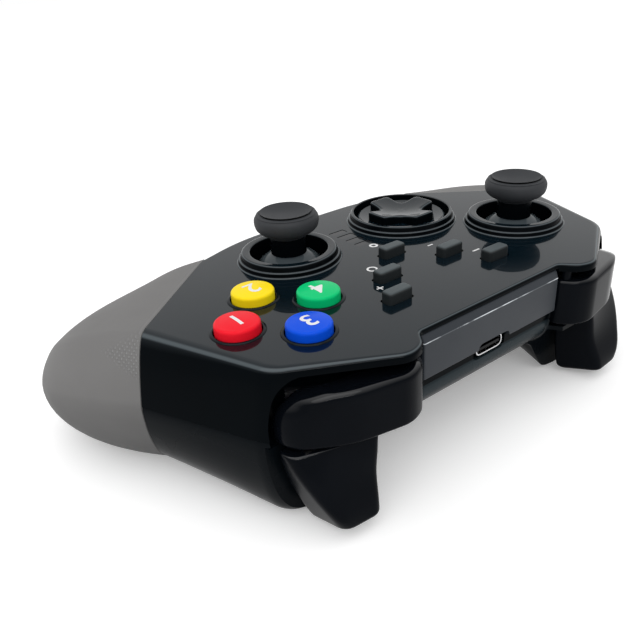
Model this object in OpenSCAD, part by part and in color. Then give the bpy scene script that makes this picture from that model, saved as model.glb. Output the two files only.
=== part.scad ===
// Wireless gamepad with two thumb sticks, a direction pad, four face buttons,
// bumpers, triggers and two grey grips.
// Shapes are drawn in the frame of the flat face: z = 0 on the face, +Y to the
// shoulder buttons, +X to the player's right. place() then stands it on z = 0.

/* [Body] */
// Height of the flat face above the table
face_h = 38.5; // [37.5:0.25:42]
// Wall thickness of the shells
wall = 2.2; // [1.8:0.1:2.6]
// Depth of the seam between the two shells
seam_depth = 15; // [14.5:0.25:17]
// Depth of the shallow middle of the underside
pan_depth = 25; // [24:0.25:28]
// Distance of the front edge from the centre
front_y = 37.6; // [36.5:0.1:39]
// Distance of the rear edge from the centre
rear_y = 33.8; // [33:0.1:36]
// Half width of the rear edge
rear_half = 22.3; // [19:0.1:24]
// Half width of the front plate
plate_half = 22.8; // [20:0.1:23.5]
// Thickness of the front plate
plate_t = 1.6; // [1.2:0.1:2]
// Half width across the shoulder corners
shoulder_half = 53.3; // [52.5:0.1:56]
// Distance of the shoulder corners in front of the centre
shoulder_y = 28.6; // [28:0.1:30]
// Distance of the bumper lips in front of the centre
lip_y = 42.8; // [42:0.1:43.5]
// Sideways swell of the shell from the face to the seam
swell = 7.8; // [5:0.1:9]

/* [Grips] */
// Inner end of the grip joint, sideways from the centre
grip_x = 35.8; // [34.5:0.1:37]
// Inner end of the grip joint, behind the centre
grip_y = 29; // [28:0.1:31]
// Angle of the grip joint to the front edge
grip_angle = 41.4; // [38:0.1:44]
// Length of the grip joint on the face
grip_top = 38.7; // [37:0.1:41]
// Length of a grip along its middle
grip_len = 39; // [36:0.5:44]
// Inward turn of a grip from its joint to its tip
grip_bend = 20.4; // [15:0.2:28]
// Fall of a grip's middle from its joint to its tip
grip_drop = 6.8; // [5:0.2:8.6]

/* [Face buttons] */
// Sideways place of the face button cluster and of the upper stick
cluster_x = 39.6; // [39:0.1:41]
// Forward place of the face button cluster and of the upper stick
cluster_y = 11.2; // [10:0.1:12]
// Distance of each face button from the cluster's middle
button_pitch = 10.7; // [9.5:0.1:11]
// Diameter of a face button
button_d = 10; // [8.5:0.1:10.5]
// Height of a face button above the face
button_rise = 2.7; // [2:0.1:3.5]
// Travel of a face button
button_travel = 1.4; // [0.8:0.1:1.6]

/* [Small buttons] */
// Width of a small button
small_w = 7; // [6:0.1:7.2]
// Depth of a small button
small_d = 3.3; // [2.8:0.1:3.6]
// Height of a small button above the face
small_rise = 2.6; // [1.6:0.1:3]
// Travel of a small button
small_travel = 0.8; // [0.4:0.1:1]
// Sideways place of the plus and minus buttons
plus_x = 16.5; // [15.5:0.1:17.5]
// Forward place of the plus and minus buttons
plus_y = 23.6; // [22.8:0.1:24]
// Sideways place of the home and turbo buttons
home_x = 10.6; // [10:0.1:11.5]
// Forward place of the home and turbo buttons
home_y = 14.1; // [13.5:0.1:15]
// Forward place of the capture button
capture_y = 4.3; // [4:0.1:5.5]

/* [Sticks] */
// Sideways place of the lower stick and of the direction pad
low_x = 19.8; // [19.4:0.1:20.5]
// Distance of the lower stick and the direction pad behind the centre
low_y = 12.9; // [12:0.1:13.2]
// Diameter of a stick cap
cap_d = 16.8; // [14:0.1:18]
// Height of a stick cap's rim above the face
stick_top = 12.6; // [12:0.1:15]
// Diameter of the opening round a stick
bowl_d = 20; // [19.6:0.1:21]
// Height of the lip round a stick opening
bowl_rise = 2.8; // [1.5:0.1:3.2]
// Depth of a stick's pivot below the face
pivot_depth = 8.4; // [8.2:0.1:8.8]
// Press travel of a stick
stick_press = 0.5; // [0.3:0.05:0.5]

/* [Direction pad] */
// Diameter of the direction pad's dish
dish_d = 25.2; // [23:0.1:25.4]
// Length of the cross from tip to tip
cross_len = 19.5; // [17:0.1:21]
// Width of each arm of the cross
cross_arm = 6.4; // [5.4:0.1:7]
// Height of the cross above the face
cross_rise = 3.6; // [2.8:0.1:4.5]

/* [Bumpers and triggers] */
// Depth of a bumper's top below the face
bumper_top = 4.4; // [4:0.1:5]
// Height of a bumper
bumper_h = 12; // [10:0.1:12.4]
// Inner side of a trigger from the centre
trigger_in = 37; // [36.5:0.1:39]
// Width of a trigger at its top
trigger_w = 18.4; // [16:0.1:18.8]
// Height of a trigger
trigger_h = 18.4; // [16:0.1:19.5]
// Diameter of a trigger's pivot pin
trigger_pin_d = 2.4; // [2:0.1:2.8]
// Wire diameter of a trigger spring
spring_wire = 0.6; // [0.5:0.05:0.7]
// Coils in a trigger spring
spring_coils = 3; // [2:1:3]

/* [Inside] */
// Depth of the circuit board's top below the face
board_depth = 12.2; // [12:0.1:12.6]
// Thickness of the circuit board
board_t = 1.6; // [1:0.1:1.6]
// Width of the battery
battery_w = 40; // [30:1:42]
// Length of the battery
battery_l = 32; // [24:1:34]
// Thickness of the battery
battery_t = 6.6; // [4:0.1:7]
// Diameter of a rumble motor
motor_d = 14; // [12:0.1:15]
// Length of a rumble motor
motor_l = 15; // [12:0.1:16]
// Width of the charging socket
socket_w = 8.94; // [8.34:0.02:9.2]
// Height of the charging socket
socket_h = 3.26; // [2.9:0.02:3.4]
// Depth of the charging socket
socket_l = 7.3; // [6.5:0.1:8]
// Thread diameter of the case screws
screw_d = 2.2; // [1.8:0.1:2.4]

/* [Fits] */
// Clearance round pieces that move
gap = 0.3; // [0.25:0.01:0.35]
// Radial clearance of pins in their bores
pin_gap = 0.05; // [0.03:0.01:0.08]

/* [Hidden] */
$fn = 48;

// Colours of the finishes
gloss_black = [0.07, 0.075, 0.085];
shell_black = [0.05, 0.05, 0.055];
grip_grey = [0.45, 0.45, 0.45];
rubber_grey = [0.2, 0.21, 0.22];
slate = [0.3, 0.34, 0.35];
steel = [0.75, 0.76, 0.78];

// Outline of the face, from the front plate round the right side to the rear.
// Each corner has its place on the face, its swell to the seam and its rounding.
joint_dir = [cos(grip_angle), sin(grip_angle)];
joint_in = [grip_x, -grip_y];
joint_out = joint_in + grip_top * joint_dir;
plate_gap = 0.4;
bevel_back = 1;
lip_step = 3.2;
lip_turn = 7.6;
corner_swell = [4.2, 1.6];
outline = [
  [[plate_half + plate_gap, front_y], [0, -bevel_back], 1],
  [[plate_half + lip_step, lip_y - 1.6], [0, 0], 1.7],
  [[plate_half + lip_turn, lip_y], [0.4, 0.2], 2.7],
  [[shoulder_half, shoulder_y], corner_swell, 3],
  [joint_out, swell * joint_dir, 0],
  [joint_in, -joint_dir, 0],
  [[rear_half, -rear_y], [0, -0.7], 9]
];

// Bumper bay: the bumper's back with room for its travel
bumper_in = plate_half + 0.8;
bumper_len = shoulder_half + 1.3 - bumper_in;
bumper_knee = [bumper_in + 0.658 * bumper_len, shoulder_y + 4.4];
bumper_back = [[bumper_in, front_y - 2.1], bumper_knee, [bumper_in + bumper_len, shoulder_y - 1.1]];
bay_back = [
  [bumper_in - 2 * gap, front_y - 2.8],
  bumper_knee - [0.8, 2],
  [shoulder_half - 0.3, shoulder_y - 4]
];
bay_side = [[shoulder_half + 2.9, shoulder_y - 2.4], [shoulder_half + 3.5, shoulder_y + 1.6]];
bay_out = concat(bay_side, [[shoulder_half + 13, shoulder_y + 5], [shoulder_half + 13, lip_y + 20]]);
lip_t = 1.9;
bumper_base = bumper_top + bumper_h;
bay_base = bumper_base + 2 * gap;
hinge_pin_d = 2.4;
hinge_at = [bumper_in + 2.6, front_y + 0.2];
shelf_t = 1.2;
shelf_y = hinge_at[1] + 1.6;

// Inside of the shells, clear of the bumper bays
inner_edge = [
  [plate_half, front_y - plate_t],
  bay_back[0] - [0.2, 0.4],
  bay_back[1],
  bay_back[2],
  joint_out,
  joint_in,
  [rear_half, -rear_y]
];
inner_corners = both_flat(inner_edge);
floor_depth = pan_depth - wall;
step_depth = seam_depth + 1.8;
step_in = 4.5;
socket_depth = board_depth + board_t / 2;
socket_gap = 0.9;
socket_front = front_y - plate_t + 0.6;
plate_base = socket_depth - 0.9;
plate_lip = 1.1;
pad_h = 0.8;
pad_r = 3.2;
pad_place = [shoulder_half - 7.8, shoulder_y - 3.4];
pocket_corners = [[-5.5, -1.2], [4.5, -1.2], [13.5, -26.2], [7.5, -33.2], [0.5, -21.2]];
lobe_depth = face_h - pad_h;
pocket_depth = lobe_depth - 7.7;
ridge_depth = face_h - 1.7;
ridge_in = 0.388 * grip_top;
ridge_out = 0.775 * grip_top;

// Underside below the seam: for each corner, where its deepest ridge lies and how
// deep that is, then where the slope back up to the shallow middle ends
ridges = [
  [[plate_half - 2, front_y - 16], pan_depth, [19, 16]],
  [[plate_half + 4.2, shoulder_y - 0.6], pan_depth + 2, [22, 17]],
  [[trigger_in - 3.5, shoulder_y + 1.7], lobe_depth, [29, 12]],
  [[shoulder_half - 2.8, shoulder_y - 1.6], lobe_depth, [36, 8]],
  [joint_in + ridge_out * joint_dir, ridge_depth, [33, -8]],
  [joint_in + ridge_in * joint_dir, ridge_depth, [30, -17]],
  [[rear_half - 2, 6 - rear_y], pan_depth, [17, -22]]
];

// Triggers: plan corners at five heights, as [share of height, inner front,
// outer front, outer front sideways, outer rear sideways, rear, inner front sideways]
trigger_top = bay_base + 0.2;
trigger_front = lip_y + 0.2;
bay_wall = shoulder_y + 0.7;
trigger_axis = [bay_wall + 3.7, -(trigger_top + 2.3)];
trigger_rows = [
  [0, -3, -8.5, 0, 0.2, 1.2, -0.3],
  [0.22, -2.8, -6, -1, -0.4, 1.2, 0.2],
  [0.5, -2.5, -3.2, -2.9, -1.8, 1.4, 1],
  [0.82, -0.7, -0.8, -5.6, -3.9, 2.4, 2.2],
  [1, 0, -0.8, -7.2, -5.4, 3.4, 2.7]
];
trigger_tilt = 1.2;
trigger_rear_in = 2;
ear_w = 2.4;
ear_x = [trigger_in + 2.4, trigger_in + 11.9];
boss_w = [ear_x[0] + ear_w + gap, ear_x[0] + ear_w + gap + 2];
pocket_x = [trigger_in + 2, ear_x[1] + ear_w + 2 * gap];

// Buttons and sticks
hole_d = button_d + 2 * gap;
flange_top = wall + gap;
flange_h = 1.1;
flange_over = 0.9;
flange_r = button_d / 2 + flange_over;
sheet_t = 0.8;
pip_r = 3.6;
pad_post_at = 0.46 * cross_len;
pad_post_r = 1.8;
button_foot = board_depth - sheet_t - button_travel - 2 * gap - 0.9;
small_foot = board_depth - sheet_t - small_travel - 2 * gap - 0.7;
right_stick_at = [low_x, -low_y];
left_stick_at = [-cluster_x, cluster_y];
pad_at = [-low_x, -low_y];
face_places = [for (a = [0, 270, 90, 180]) [cluster_x, cluster_y] + button_pitch * [cos(a), sin(a)]];
face_colours = [[0.9, 0.06, 0.1], [1, 0.82, 0.05], [0.02, 0.2, 0.8], [0.0, 0.7, 0.35]];
small_places = [[plus_x, plus_y], [-plus_x, plus_y], [home_x, home_y], [-home_x, home_y], [0, capture_y]];
lamp_count = 4;
lamp_pitch = 3.6;
lamp_size = [5, 2.2];
lamp_y = -6.6;
dome_gap = 0.67;
dome_r = norm([bowl_d / 2 - dome_gap, pivot_depth - wall]);
dome_edge = 70;
dome_t = 1;
housing_w = 12.8;
housing_wall = 1.2;
housing_top = pivot_depth - 2;
yoke_size = [9.6, 8.6, 2.4];
yoke_open = [6.8, 5.8];
rocker_size = [4.6, 5, 2.2];
housing_floor = board_depth - 0.8;
post_r = 1.5;
post_foot = housing_floor - stick_press - 4 * gap;
neck_r = 4.6;
neck_foot = pivot_depth - 5.2;
cap_base = stick_top - 6.2;
trunnion_r = 1;
pad_pivot = 6.5;
pad_under = wall + 1.7;
pad_flange = 0.8;
rim_flange = 3.2;
rim_lip = 2.6;
cross_half = cross_len / 2;
arm_half = cross_arm / 2;
cross_arm_points = [[-arm_half, cross_half], [arm_half, cross_half], [arm_half, arm_half]];
cross_points = [for (a = [0:90:270], c = cross_arm_points)
  [c[0] * cos(a) + c[1] * sin(a), c[1] * cos(a) - c[0] * sin(a)]];
dish_hole_d = dish_d + 2;
gimbal_r = 0.8;
gimbal_reach = 3.4;

// Screws
case_screw_at = [
  [plus_x + 7.5, plus_y + 2.4],
  [cluster_x + 15.9, cluster_y - 12.2],
  [low_x + 11.2, -low_y - 13.7]
];
board_screw_at = [[cluster_x - 9.6, cluster_y + 11.3], [5, -low_y - 13.1]];
boss_r = screw_d / 2 + 1.7;
head_r = screw_d / 2 + 1;
head_h = 1.2;
case_bite = 7;
board_bite = 5;

// Rumble motors, in the frame of the grip joint
motor_at = [(grip_top + swell) / 2, -11, -19.2];
weight_r = motor_d / 2 + 1.8;
weight_l = 5.5;
cradle_w = 10;

function unit(v) = v / norm(v);
function flip(p) = [-p[0], p[1], p[2]];
function deep(p, z) = [p[0], p[1], -z];

// Rounds the corner p between a and b over the distance r
function turn(a, p, b, r, n = 4) =
  r <= 0 ? [p] : [for (i = [0:n]) let (t = i / n,
    u = p + r * unit(a - p), w = p + r * unit(b - p))
    (1 - t) * (1 - t) * u + 2 * t * (1 - t) * p + t * t * w];

// Closed ring through corners [place, rounding]
function ring(c) = [for (i = [0:len(c) - 1]) let (m = len(c))
  each turn(c[(i + m - 1) % m][0], c[i][0], c[(i + 1) % m][0], c[i][1])];

// Adds the mirrored left half to corners of the right half
function both(c) = concat(c, [for (i = [len(c) - 1:-1:0]) [flip(c[i][0]), c[i][1]]]);
function both_flat(c) = concat(c, [for (i = [len(c) - 1:-1:0]) [-c[i][0], c[i][1]]]);

// Moves each edge of a clockwise outline inwards by d
function inset(c, d) = [for (i = [0:len(c) - 1]) let (m = len(c),
    u = unit(c[i] - c[(i + m - 1) % m]), w = unit(c[(i + 1) % m] - c[i]),
    nu = [u[1], -u[0]], nw = [w[1], -w[0]])
  c[i] + d * (nu + nw) / (1 + nu * nw)];

// Side of the upper shell at a share of the way from the face to the seam
function swell_share(f) = pow(f, 0.55);
function top_ring(f) = ring(both([for (c = outline)
  [deep(c[0] + c[1] * swell_share(f), f * seam_depth), c[2]]]));

// Side of the lower shell from the seam to its ridge, on a squarish arc
arc_power = 2.2;
function arc_in(a) = 1 - pow(cos(a), 2 / arc_power);
function arc_down(a) = pow(sin(a), 2 / arc_power);
function seam_at(i) = outline[i][0] + outline[i][1];
function ridge_ring(a) = ring(both([for (i = [0:len(outline) - 1]) let (s = seam_at(i), r = ridges[i])
  [deep(s + (r[0] - s) * arc_in(a), seam_depth + (r[1] - seam_depth) * arc_down(a)), outline[i][2]]]));
function slope_ring(t, k) = ring(both([for (i = [0:len(outline) - 1]) let (r = ridges[i])
  [deep(r[0] + (r[2] - r[0]) * t, r[1] + (pan_depth - r[1]) * k), outline[i][2]]]));

body_hub = [0, -15];
top_steps = [0, 0.03, 0.1, 0.25, 0.5, 0.78, 1];
arc_steps = [0, 18, 36, 52, 66, 78, 90];
top_rings = [for (f = top_steps) top_ring(f)];
bottom_rings = concat([for (a = arc_steps) ridge_ring(a)], [slope_ring(0.5, 0.55), slope_ring(1, 1)]);

// Section of the body at the grip joint, as [distance along the joint, height],
// clockwise seen from the body
grip_section = concat(
  [for (f = top_steps) [-swell_share(f), -f * seam_depth]],
  [for (i = [1:len(arc_steps) - 1]) let (a = arc_steps[i])
    [-1 + (ridge_in + 1) * arc_in(a), -seam_depth - (ridge_depth - seam_depth) * arc_down(a)]],
  [for (i = [len(arc_steps) - 1:-1:1]) let (a = arc_steps[i], s = grip_top + swell)
    [s + (ridge_out - s) * arc_in(a), -seam_depth - (ridge_depth - seam_depth) * arc_down(a)]],
  [for (i = [len(top_steps) - 1:-1:0]) let (f = top_steps[i])
    [grip_top + swell * swell_share(f), -f * seam_depth]]
);
grip_mid = [(grip_top + swell - 1) / 2, -ridge_depth / 2];

// A grip bends, grows rounder and shrinks to its tip: ring at the share t of its length
function grip_size(t) = pow(1 - pow(t, 2.4), 0.62);
function grip_soft(t) = 0.89 * pow(min(t / 0.84, 1), 1.3);
function grip_oval(p, m) = let (d = p - grip_mid, a = (grip_top + swell + 1) / 2, b = ridge_depth / 2,
    f = atan2(d[1] / b, d[0] / a)) (1 - m) * d + m * [a * cos(f), b * sin(f)];
function grip_fall(t) = grip_drop * t * t;
function grip_path(t) = t <= 0 ? [0, 0] :
  let (n = 12, d = t / n) [for (i = [0:n - 1]) 1] *
  [for (i = [0:n - 1]) let (a = -90 - grip_bend * (i + 0.5) * d) grip_len * d * [cos(a), sin(a)]];
function grip_ring(t, k) = [for (p = grip_section) let (a = -grip_bend * t,
    q = grip_oval(p, grip_soft(t)) * k, c = grip_path(t))
  [grip_mid[0] + c[0] + q[0] * cos(a), c[1] + q[0] * sin(a), grip_mid[1] - grip_fall(t) + q[1]]];
grip_steps = [0, 0.12, 0.25, 0.38, 0.5, 0.62, 0.72, 0.81, 0.88, 0.94, 0.975, 0.994];
function to_face(p) = [joint_in[0] + p[0] * joint_dir[0] - p[1] * joint_dir[1],
  joint_in[1] + p[0] * joint_dir[1] + p[1] * joint_dir[0], p[2]];
grip_rings = [for (t = grip_steps) [for (p = grip_ring(t, grip_size(t))) to_face(p)]];
grip_hollow = 1 - 2 * wall / (grip_top + swell + 1) - 0.02;
hollow_steps = [-0.01, 0.12, 0.25, 0.38, 0.5, 0.62, 0.72, 0.8];
hollow_rings = [for (t = hollow_steps) let (u = max(t, 0))
  [for (p = grip_ring(u, grip_size(u * 1.08) * grip_hollow)) to_face(p + [0, t < 0 ? 1 : 0, 0])]];

// The part is centred between the grip tips and the trigger fronts
grip_reach = -min([for (r = grip_rings) for (p = r) p[1]]);
mid_shift = (grip_reach - trigger_front) / 2;
module place() translate([0, mid_shift, face_h]) children();
module mirrored() mirror([1, 0, 0]) children();
module sides() {
  children();
  mirrored() children();
}
module at(p, z = 0) translate([p[0], p[1], z]) children();
module at_joint() at(joint_in) rotate([0, 0, grip_angle]) children();
module along_x() rotate([0, 90, 0]) children();
module along_y() rotate([-90, 0, 0]) children();

// Closed solid over rings of equal length, the first ring facing up or outwards.
// Each end is a fan round its middle, or round the place given
function middle(r) = [for (p = r) 1] * r / len(r);
function hub_of(r, hub) = is_undef(hub) ? middle(r) : [hub[0], hub[1], r[0][2]];
module skin(rings, hub = undef) {
  m = len(rings[0]);
  last = len(rings) - 1;
  end = (last + 1) * m;
  polyhedron(
    points = concat([for (r = rings) each r], [hub_of(rings[0], hub), hub_of(rings[last], hub)]),
    faces = concat(
      [for (k = [0:last - 1], i = [0:m - 1]) let (u = k * m + i, v = k * m + (i + 1) % m)
        each [[v, u, u + m], [v, u + m, v + m]]],
      [for (i = [0:m - 1]) [i, (i + 1) % m, end]],
      [for (i = [0:m - 1]) [last * m + (i + 1) % m, last * m + i, end + 1]]
    ),
    convexity = 8
  );
}

module slab(points, top, bottom) translate([0, 0, -bottom])
  linear_extrude(bottom - top) polygon(points);
module tube(r_out, r_in, top, bottom) translate([0, 0, -bottom]) difference() {
  cylinder(r = r_out, h = bottom - top);
  translate([0, 0, -1]) cylinder(r = r_in, h = bottom - top + 2);
}
module rod(r, top, bottom) translate([0, 0, -bottom]) cylinder(r = r, h = bottom - top);
module block(size, top, bottom) translate([0, 0, -(top + bottom) / 2])
  cube([size[0], size[1], bottom - top], center = true);

// Rounded bar with its long side along X
module bar(w, d, top, bottom, r) translate([0, 0, -bottom]) linear_extrude(bottom - top)
  polygon(ring([for (c = [[-1, -1], [-1, 1], [1, 1], [1, -1]]) [[c[0] * w / 2, c[1] * d / 2], r]]));

module inside(top, bottom, edge = wall) slab(inset(inner_corners, edge), top, bottom);

// The bay's upper outer corner is rounded like the bumper's end, as [sideways, depth]
bay_corner = [
  [-3.8, lip_t - 0.1], [-1.8, 2.4], [0.3, 3.9], [1.7, 6], [2.7, 9], [3.4, 12.5],
  [3.5, bay_base + 1], [16, bay_base + 1], [16, lip_t - 0.1]
];
module bay_corner_fill() translate([shoulder_half, lip_y + 21, 0]) rotate([90, 0, 0])
  linear_extrude(lip_y - shoulder_y + 29) polygon([for (p = bay_corner) [p[0], -p[1]]]);
module bumper_bay() difference() {
  slab(concat(bay_back, bay_out, [[bay_back[0][0], lip_y + 20]]), lip_t, bay_base);
  bay_corner_fill();
}
trigger_bay_in = trigger_in - trigger_rear_in - 2 * gap;
module trigger_bay() slab([[trigger_bay_in, bay_wall], [trigger_bay_in, lip_y + 20],
  [shoulder_half + 13, lip_y + 20], [shoulder_half + 13, bay_wall]], bay_base - 1, face_h + 1);

// Open space between the front plate and a trigger, below a shelf for the bumper's pin
module front_space(y, top) slab([[bay_back[0][0], y], [bay_back[0][0], lip_y + 20],
  [trigger_in, lip_y + 20], [trigger_in, y]], top, face_h + 1);
module socket_opening() translate([0, front_y + 5, -socket_depth]) rotate([90, 0, 0])
  translate([0, 0, -5]) linear_extrude(25)
  polygon(ring([for (c = [[-1, -1], [-1, 1], [1, 1], [1, -1]])
    [[c[0] * (socket_w / 2 + socket_gap), c[1] * (socket_h / 2 + socket_gap)], socket_h / 2]]));

// Upper shell with its rims and openings
module bowl_rim(hole, flange, lip) rotate_extrude() polygon([
  [hole, -wall], [hole, bowl_rise - 0.5], [hole + 0.5, bowl_rise], [lip - 0.6, bowl_rise],
  [lip, bowl_rise - 0.6], [lip, 1.3], [flange - 0.5, 1.3], [flange, 0.8], [flange, -wall]
]);
module shell_bosses() {
  sides() for (p = case_screw_at) at(p) rod(boss_r, wall - 0.5, seam_depth);
  sides() for (p = board_screw_at) at(p) rod(boss_r, wall - 0.5, board_depth);
}
module top_shell() color(gloss_black) difference() {
  union() {
    difference() {
      skin(top_rings, body_hub);
      inside(wall, seam_depth + 1);
    }
    at(right_stick_at) bowl_rim(bowl_d / 2, bowl_d / 2 + rim_flange, bowl_d / 2 + rim_lip);
    at(left_stick_at) bowl_rim(bowl_d / 2, bowl_d / 2 + rim_flange, bowl_d / 2 + rim_lip);
    at(pad_at) bowl_rim(dish_hole_d / 2, dish_hole_d / 2 + 1.8, dish_hole_d / 2 + 1.1);
    shell_bosses();
  }
  for (p = [right_stick_at, left_stick_at]) at(p) rod(bowl_d / 2, -1, wall + 1);
  at(pad_at) rod(dish_hole_d / 2, -1, wall + 1);
  for (p = face_places) at(p) {
    rod(hole_d / 2, -1, wall + 1);
    rod(flange_r + gap, wall - 0.2, flange_top + flange_h + button_travel + gap);
  }
  for (p = small_places) at(p) bar(small_w + 2 * gap, small_d + 2 * gap, -1, wall + 1, 0.9);
  for (i = [0:lamp_count - 1]) at([0, lamp_y - i * lamp_pitch]) block(lamp_size, -1, wall + 1);
  sides() bumper_bay();
  plate_bay();
  socket_opening();
  sides() for (p = case_screw_at) at(p) rod(screw_d / 2, seam_depth - case_bite - 1, seam_depth + 1);
  sides() for (p = board_screw_at) at(p) rod(screw_d / 2, board_depth - board_bite - 1, board_depth + 1);
}
plate_bay_corners = [[plate_half + plate_gap, front_y + 9], [plate_half + plate_gap, front_y - plate_t]];
module plate_bay() slab(both_flat(plate_bay_corners), plate_lip, plate_base + 0.2);

// Front plate with a bevelled top edge and a notch for the charging socket
module front_plate() color([0.16, 0.17, 0.19]) difference() {
  translate([-plate_half, 0, 0]) rotate([90, 0, 90]) linear_extrude(2 * plate_half) polygon([
    [front_y - plate_t, -plate_lip - 0.2], [front_y - 0.1, -plate_lip - 0.2], [front_y + 0.5, -3.2],
    [front_y + 0.5, -plate_base], [front_y - plate_t, -plate_base]
  ]);
  socket_opening();
}

// Lower shell with its lobes, trigger ears, bosses, motor cradles and rest pads
module lower_bosses() {
  sides() for (p = case_screw_at) at(p) rod(boss_r + 0.6, seam_depth, floor_depth + 0.5);
}
module trigger_ears() for (x = ear_x) translate([x, 0, 0]) along_x() linear_extrude(ear_w) polygon([
  [trigger_axis[1] * -1 - 2.2, bay_wall - 1], [trigger_axis[1] * -1 - 2.2, trigger_axis[0] + 2],
  [trigger_axis[1] * -1 + 2.2, trigger_axis[0] + 2], [trigger_axis[1] * -1 + 5, bay_wall - 1]
]);
module cradle() at_joint() difference() {
  translate(motor_at - [(motor_l + cradle_w) / 2, motor_d / 2, motor_d / 2 + 2])
    cube([cradle_w, motor_d / 2 - motor_at[1] + wall - 0.6, motor_d / 2]);
  translate(motor_at) along_x() cylinder(d = motor_d, h = 60, center = true);
}
module handle_pocket() slab([for (p = pocket_corners) pad_place + p], step_depth - 0.1, pocket_depth);
module bottom_shell() color(shell_black) difference() {
  union() {
    difference() {
      skin(bottom_rings, body_hub);
      inside(seam_depth - 1, step_depth);
      inside(step_depth - 1, floor_depth, wall + step_in);
      sides() handle_pocket();
      sides() bumper_bay();
      sides() trigger_bay();
      sides() front_space(bay_wall, bay_base + shelf_t);
      sides() front_space(shelf_y, bay_base - 1);
      plate_bay();
    }
    lower_bosses();
    sides() trigger_ears();
    sides() cradle();
    sides() at(pad_place) rod(pad_r, lobe_depth - 4, face_h);
  }
  socket_opening();
  sides() for (p = case_screw_at) at(p) {
    rod(screw_d / 2 + 0.2, seam_depth - 1, face_h);
    rod(head_r + 0.3, floor_depth - head_h, face_h);
  }
  sides() translate([ear_x[0] - 1, trigger_axis[0], trigger_axis[1]]) along_x()
    cylinder(r = trigger_pin_d / 2 + pin_gap, h = ear_x[1] - ear_x[0] + ear_w + 2);
}

// Hollow grip covers
module grip() difference() {
  skin(grip_rings);
  skin(hollow_rings);
}
module right_grip() color(grip_grey) grip();
module left_grip() color(grip_grey) mirrored() grip();

// Face buttons with a domed top and a flange under the shell
module face_button(i) color(face_colours[i]) at(face_places[i]) rotate_extrude() polygon([
  [0, -button_foot], [button_d / 2 - 1, -button_foot], [button_d / 2 - 1, -flange_top - flange_h],
  [flange_r, -flange_top - flange_h], [flange_r, -flange_top],
  [button_d / 2, -flange_top], [button_d / 2, button_rise - 1.1], [button_d / 2 - 0.35, button_rise - 0.5],
  [button_d / 2 - 1, button_rise - 0.2], [button_d / 4, button_rise], [0, button_rise]
]);
module east_button() face_button(0);
module south_button() face_button(1);
module north_button() face_button(2);
module west_button() face_button(3);

// Small rubber buttons
module small_button(i) color(slate) at(small_places[i]) {
  bar(small_w, small_d, -small_rise, flange_top, 0.8);
  bar(small_w + 1.4, small_d + 1.4, flange_top, flange_top + flange_h, 0.8);
  bar(small_w - 2, small_d - 1, flange_top + flange_h, small_foot, 0.5);
}
module plus_button() small_button(0);
module minus_button() small_button(1);
module home_button() small_button(2);
module turbo_button() small_button(3);
module capture_button() small_button(4);

// Direction pad: cross on a dish, rocking on a two way pivot
module pad_lugs() for (s = [-1, 1]) translate([0, s * gimbal_reach, 0])
  block([2.6, 1.4], pad_under, pad_pivot + 1.3);
module direction_pad() color(gloss_black) at(pad_at) difference() {
  union() {
    rotate_extrude() polygon([
      [0, -pad_under - pad_flange], [dish_d / 2 + 1.6, -pad_under - pad_flange],
      [dish_d / 2 + 1.6, -pad_under], [dish_d / 2, -pad_under], [dish_d / 2, 1], [dish_d / 2 - 0.6, 1.5],
      [cross_half + 0.6, 1.3], [4, 0.6], [0, 0.5]
    ]);
    slab(cross_points, -cross_rise, 0);
    pad_lugs();
    for (a = [0:90:270]) rotate([0, 0, a]) translate([pad_post_at, 0, 0])
      rod(pad_post_r, pad_under, small_foot);
  }
  translate([0, 0, -pad_pivot]) along_y() cylinder(r = gimbal_r + pin_gap, h = 12, center = true);
}
module pad_rocker() color(steel) at(pad_at, -pad_pivot) {
  cube([3.2, 3.2, 1.8], center = true);
  along_x() cylinder(r = gimbal_r, h = 2 * gimbal_reach + 1.4, center = true);
  along_y() cylinder(r = gimbal_r, h = 2 * gimbal_reach + 1.4, center = true);
}
module pad_seat() color(rubber_grey) at(pad_at) difference() {
  union() {
    for (s = [-1, 1]) translate([s * gimbal_reach, 0, 0]) block([1.4, 2.6], pad_pivot - 1.3, board_depth);
    block([2 * gimbal_reach, 2.6], board_depth - 1.5, board_depth);
  }
  translate([0, 0, -pad_pivot]) along_x() cylinder(r = gimbal_r + pin_gap, h = 12, center = true);
}

// Thumb stick: housing, yoke that tilts about X, rocker that tilts about Y, post and cap
module stick_housing() color(steel) difference() {
  block([housing_w, housing_w], housing_top, board_depth);
  block([housing_w - 2 * housing_wall, housing_w - 2 * housing_wall], housing_top - 1, housing_floor);
  translate([0, 0, -pivot_depth]) along_x()
    cylinder(r = trunnion_r + pin_gap, h = housing_w + 2, center = true);
}
module stick_yoke() color(rubber_grey) translate([0, 0, -pivot_depth]) difference() {
  union() {
    cube(yoke_size, center = true);
    along_x() cylinder(r = trunnion_r, h = housing_w, center = true);
  }
  cube([yoke_open[0], yoke_open[1], 4], center = true);
  along_y() cylinder(r = trunnion_r + pin_gap, h = 20, center = true);
}
module stick_rocker() color(steel) translate([0, 0, -pivot_depth]) difference() {
  union() {
    cube(rocker_size, center = true);
    along_y() cylinder(r = trunnion_r, h = yoke_size[1], center = true);
  }
  cylinder(r = post_r + pin_gap, h = 6, center = true);
}
function dome_arc(r, a0, a1, n = 8) = [for (i = [0:n]) let (a = a0 + (a1 - a0) * i / n)
  [r * sin(a), r * cos(a) - pivot_depth]];
module stick_post() color(gloss_black) {
  rod(post_r, neck_foot - 0.4, post_foot);
  rod(neck_r, 4.6 - stick_top, neck_foot);
  rotate_extrude() polygon(concat(dome_arc(dome_r, asin((neck_r - 0.4) / dome_r), dome_edge),
    dome_arc(dome_r - dome_t, dome_edge, asin((neck_r - 0.4) / dome_r))));
}
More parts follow.
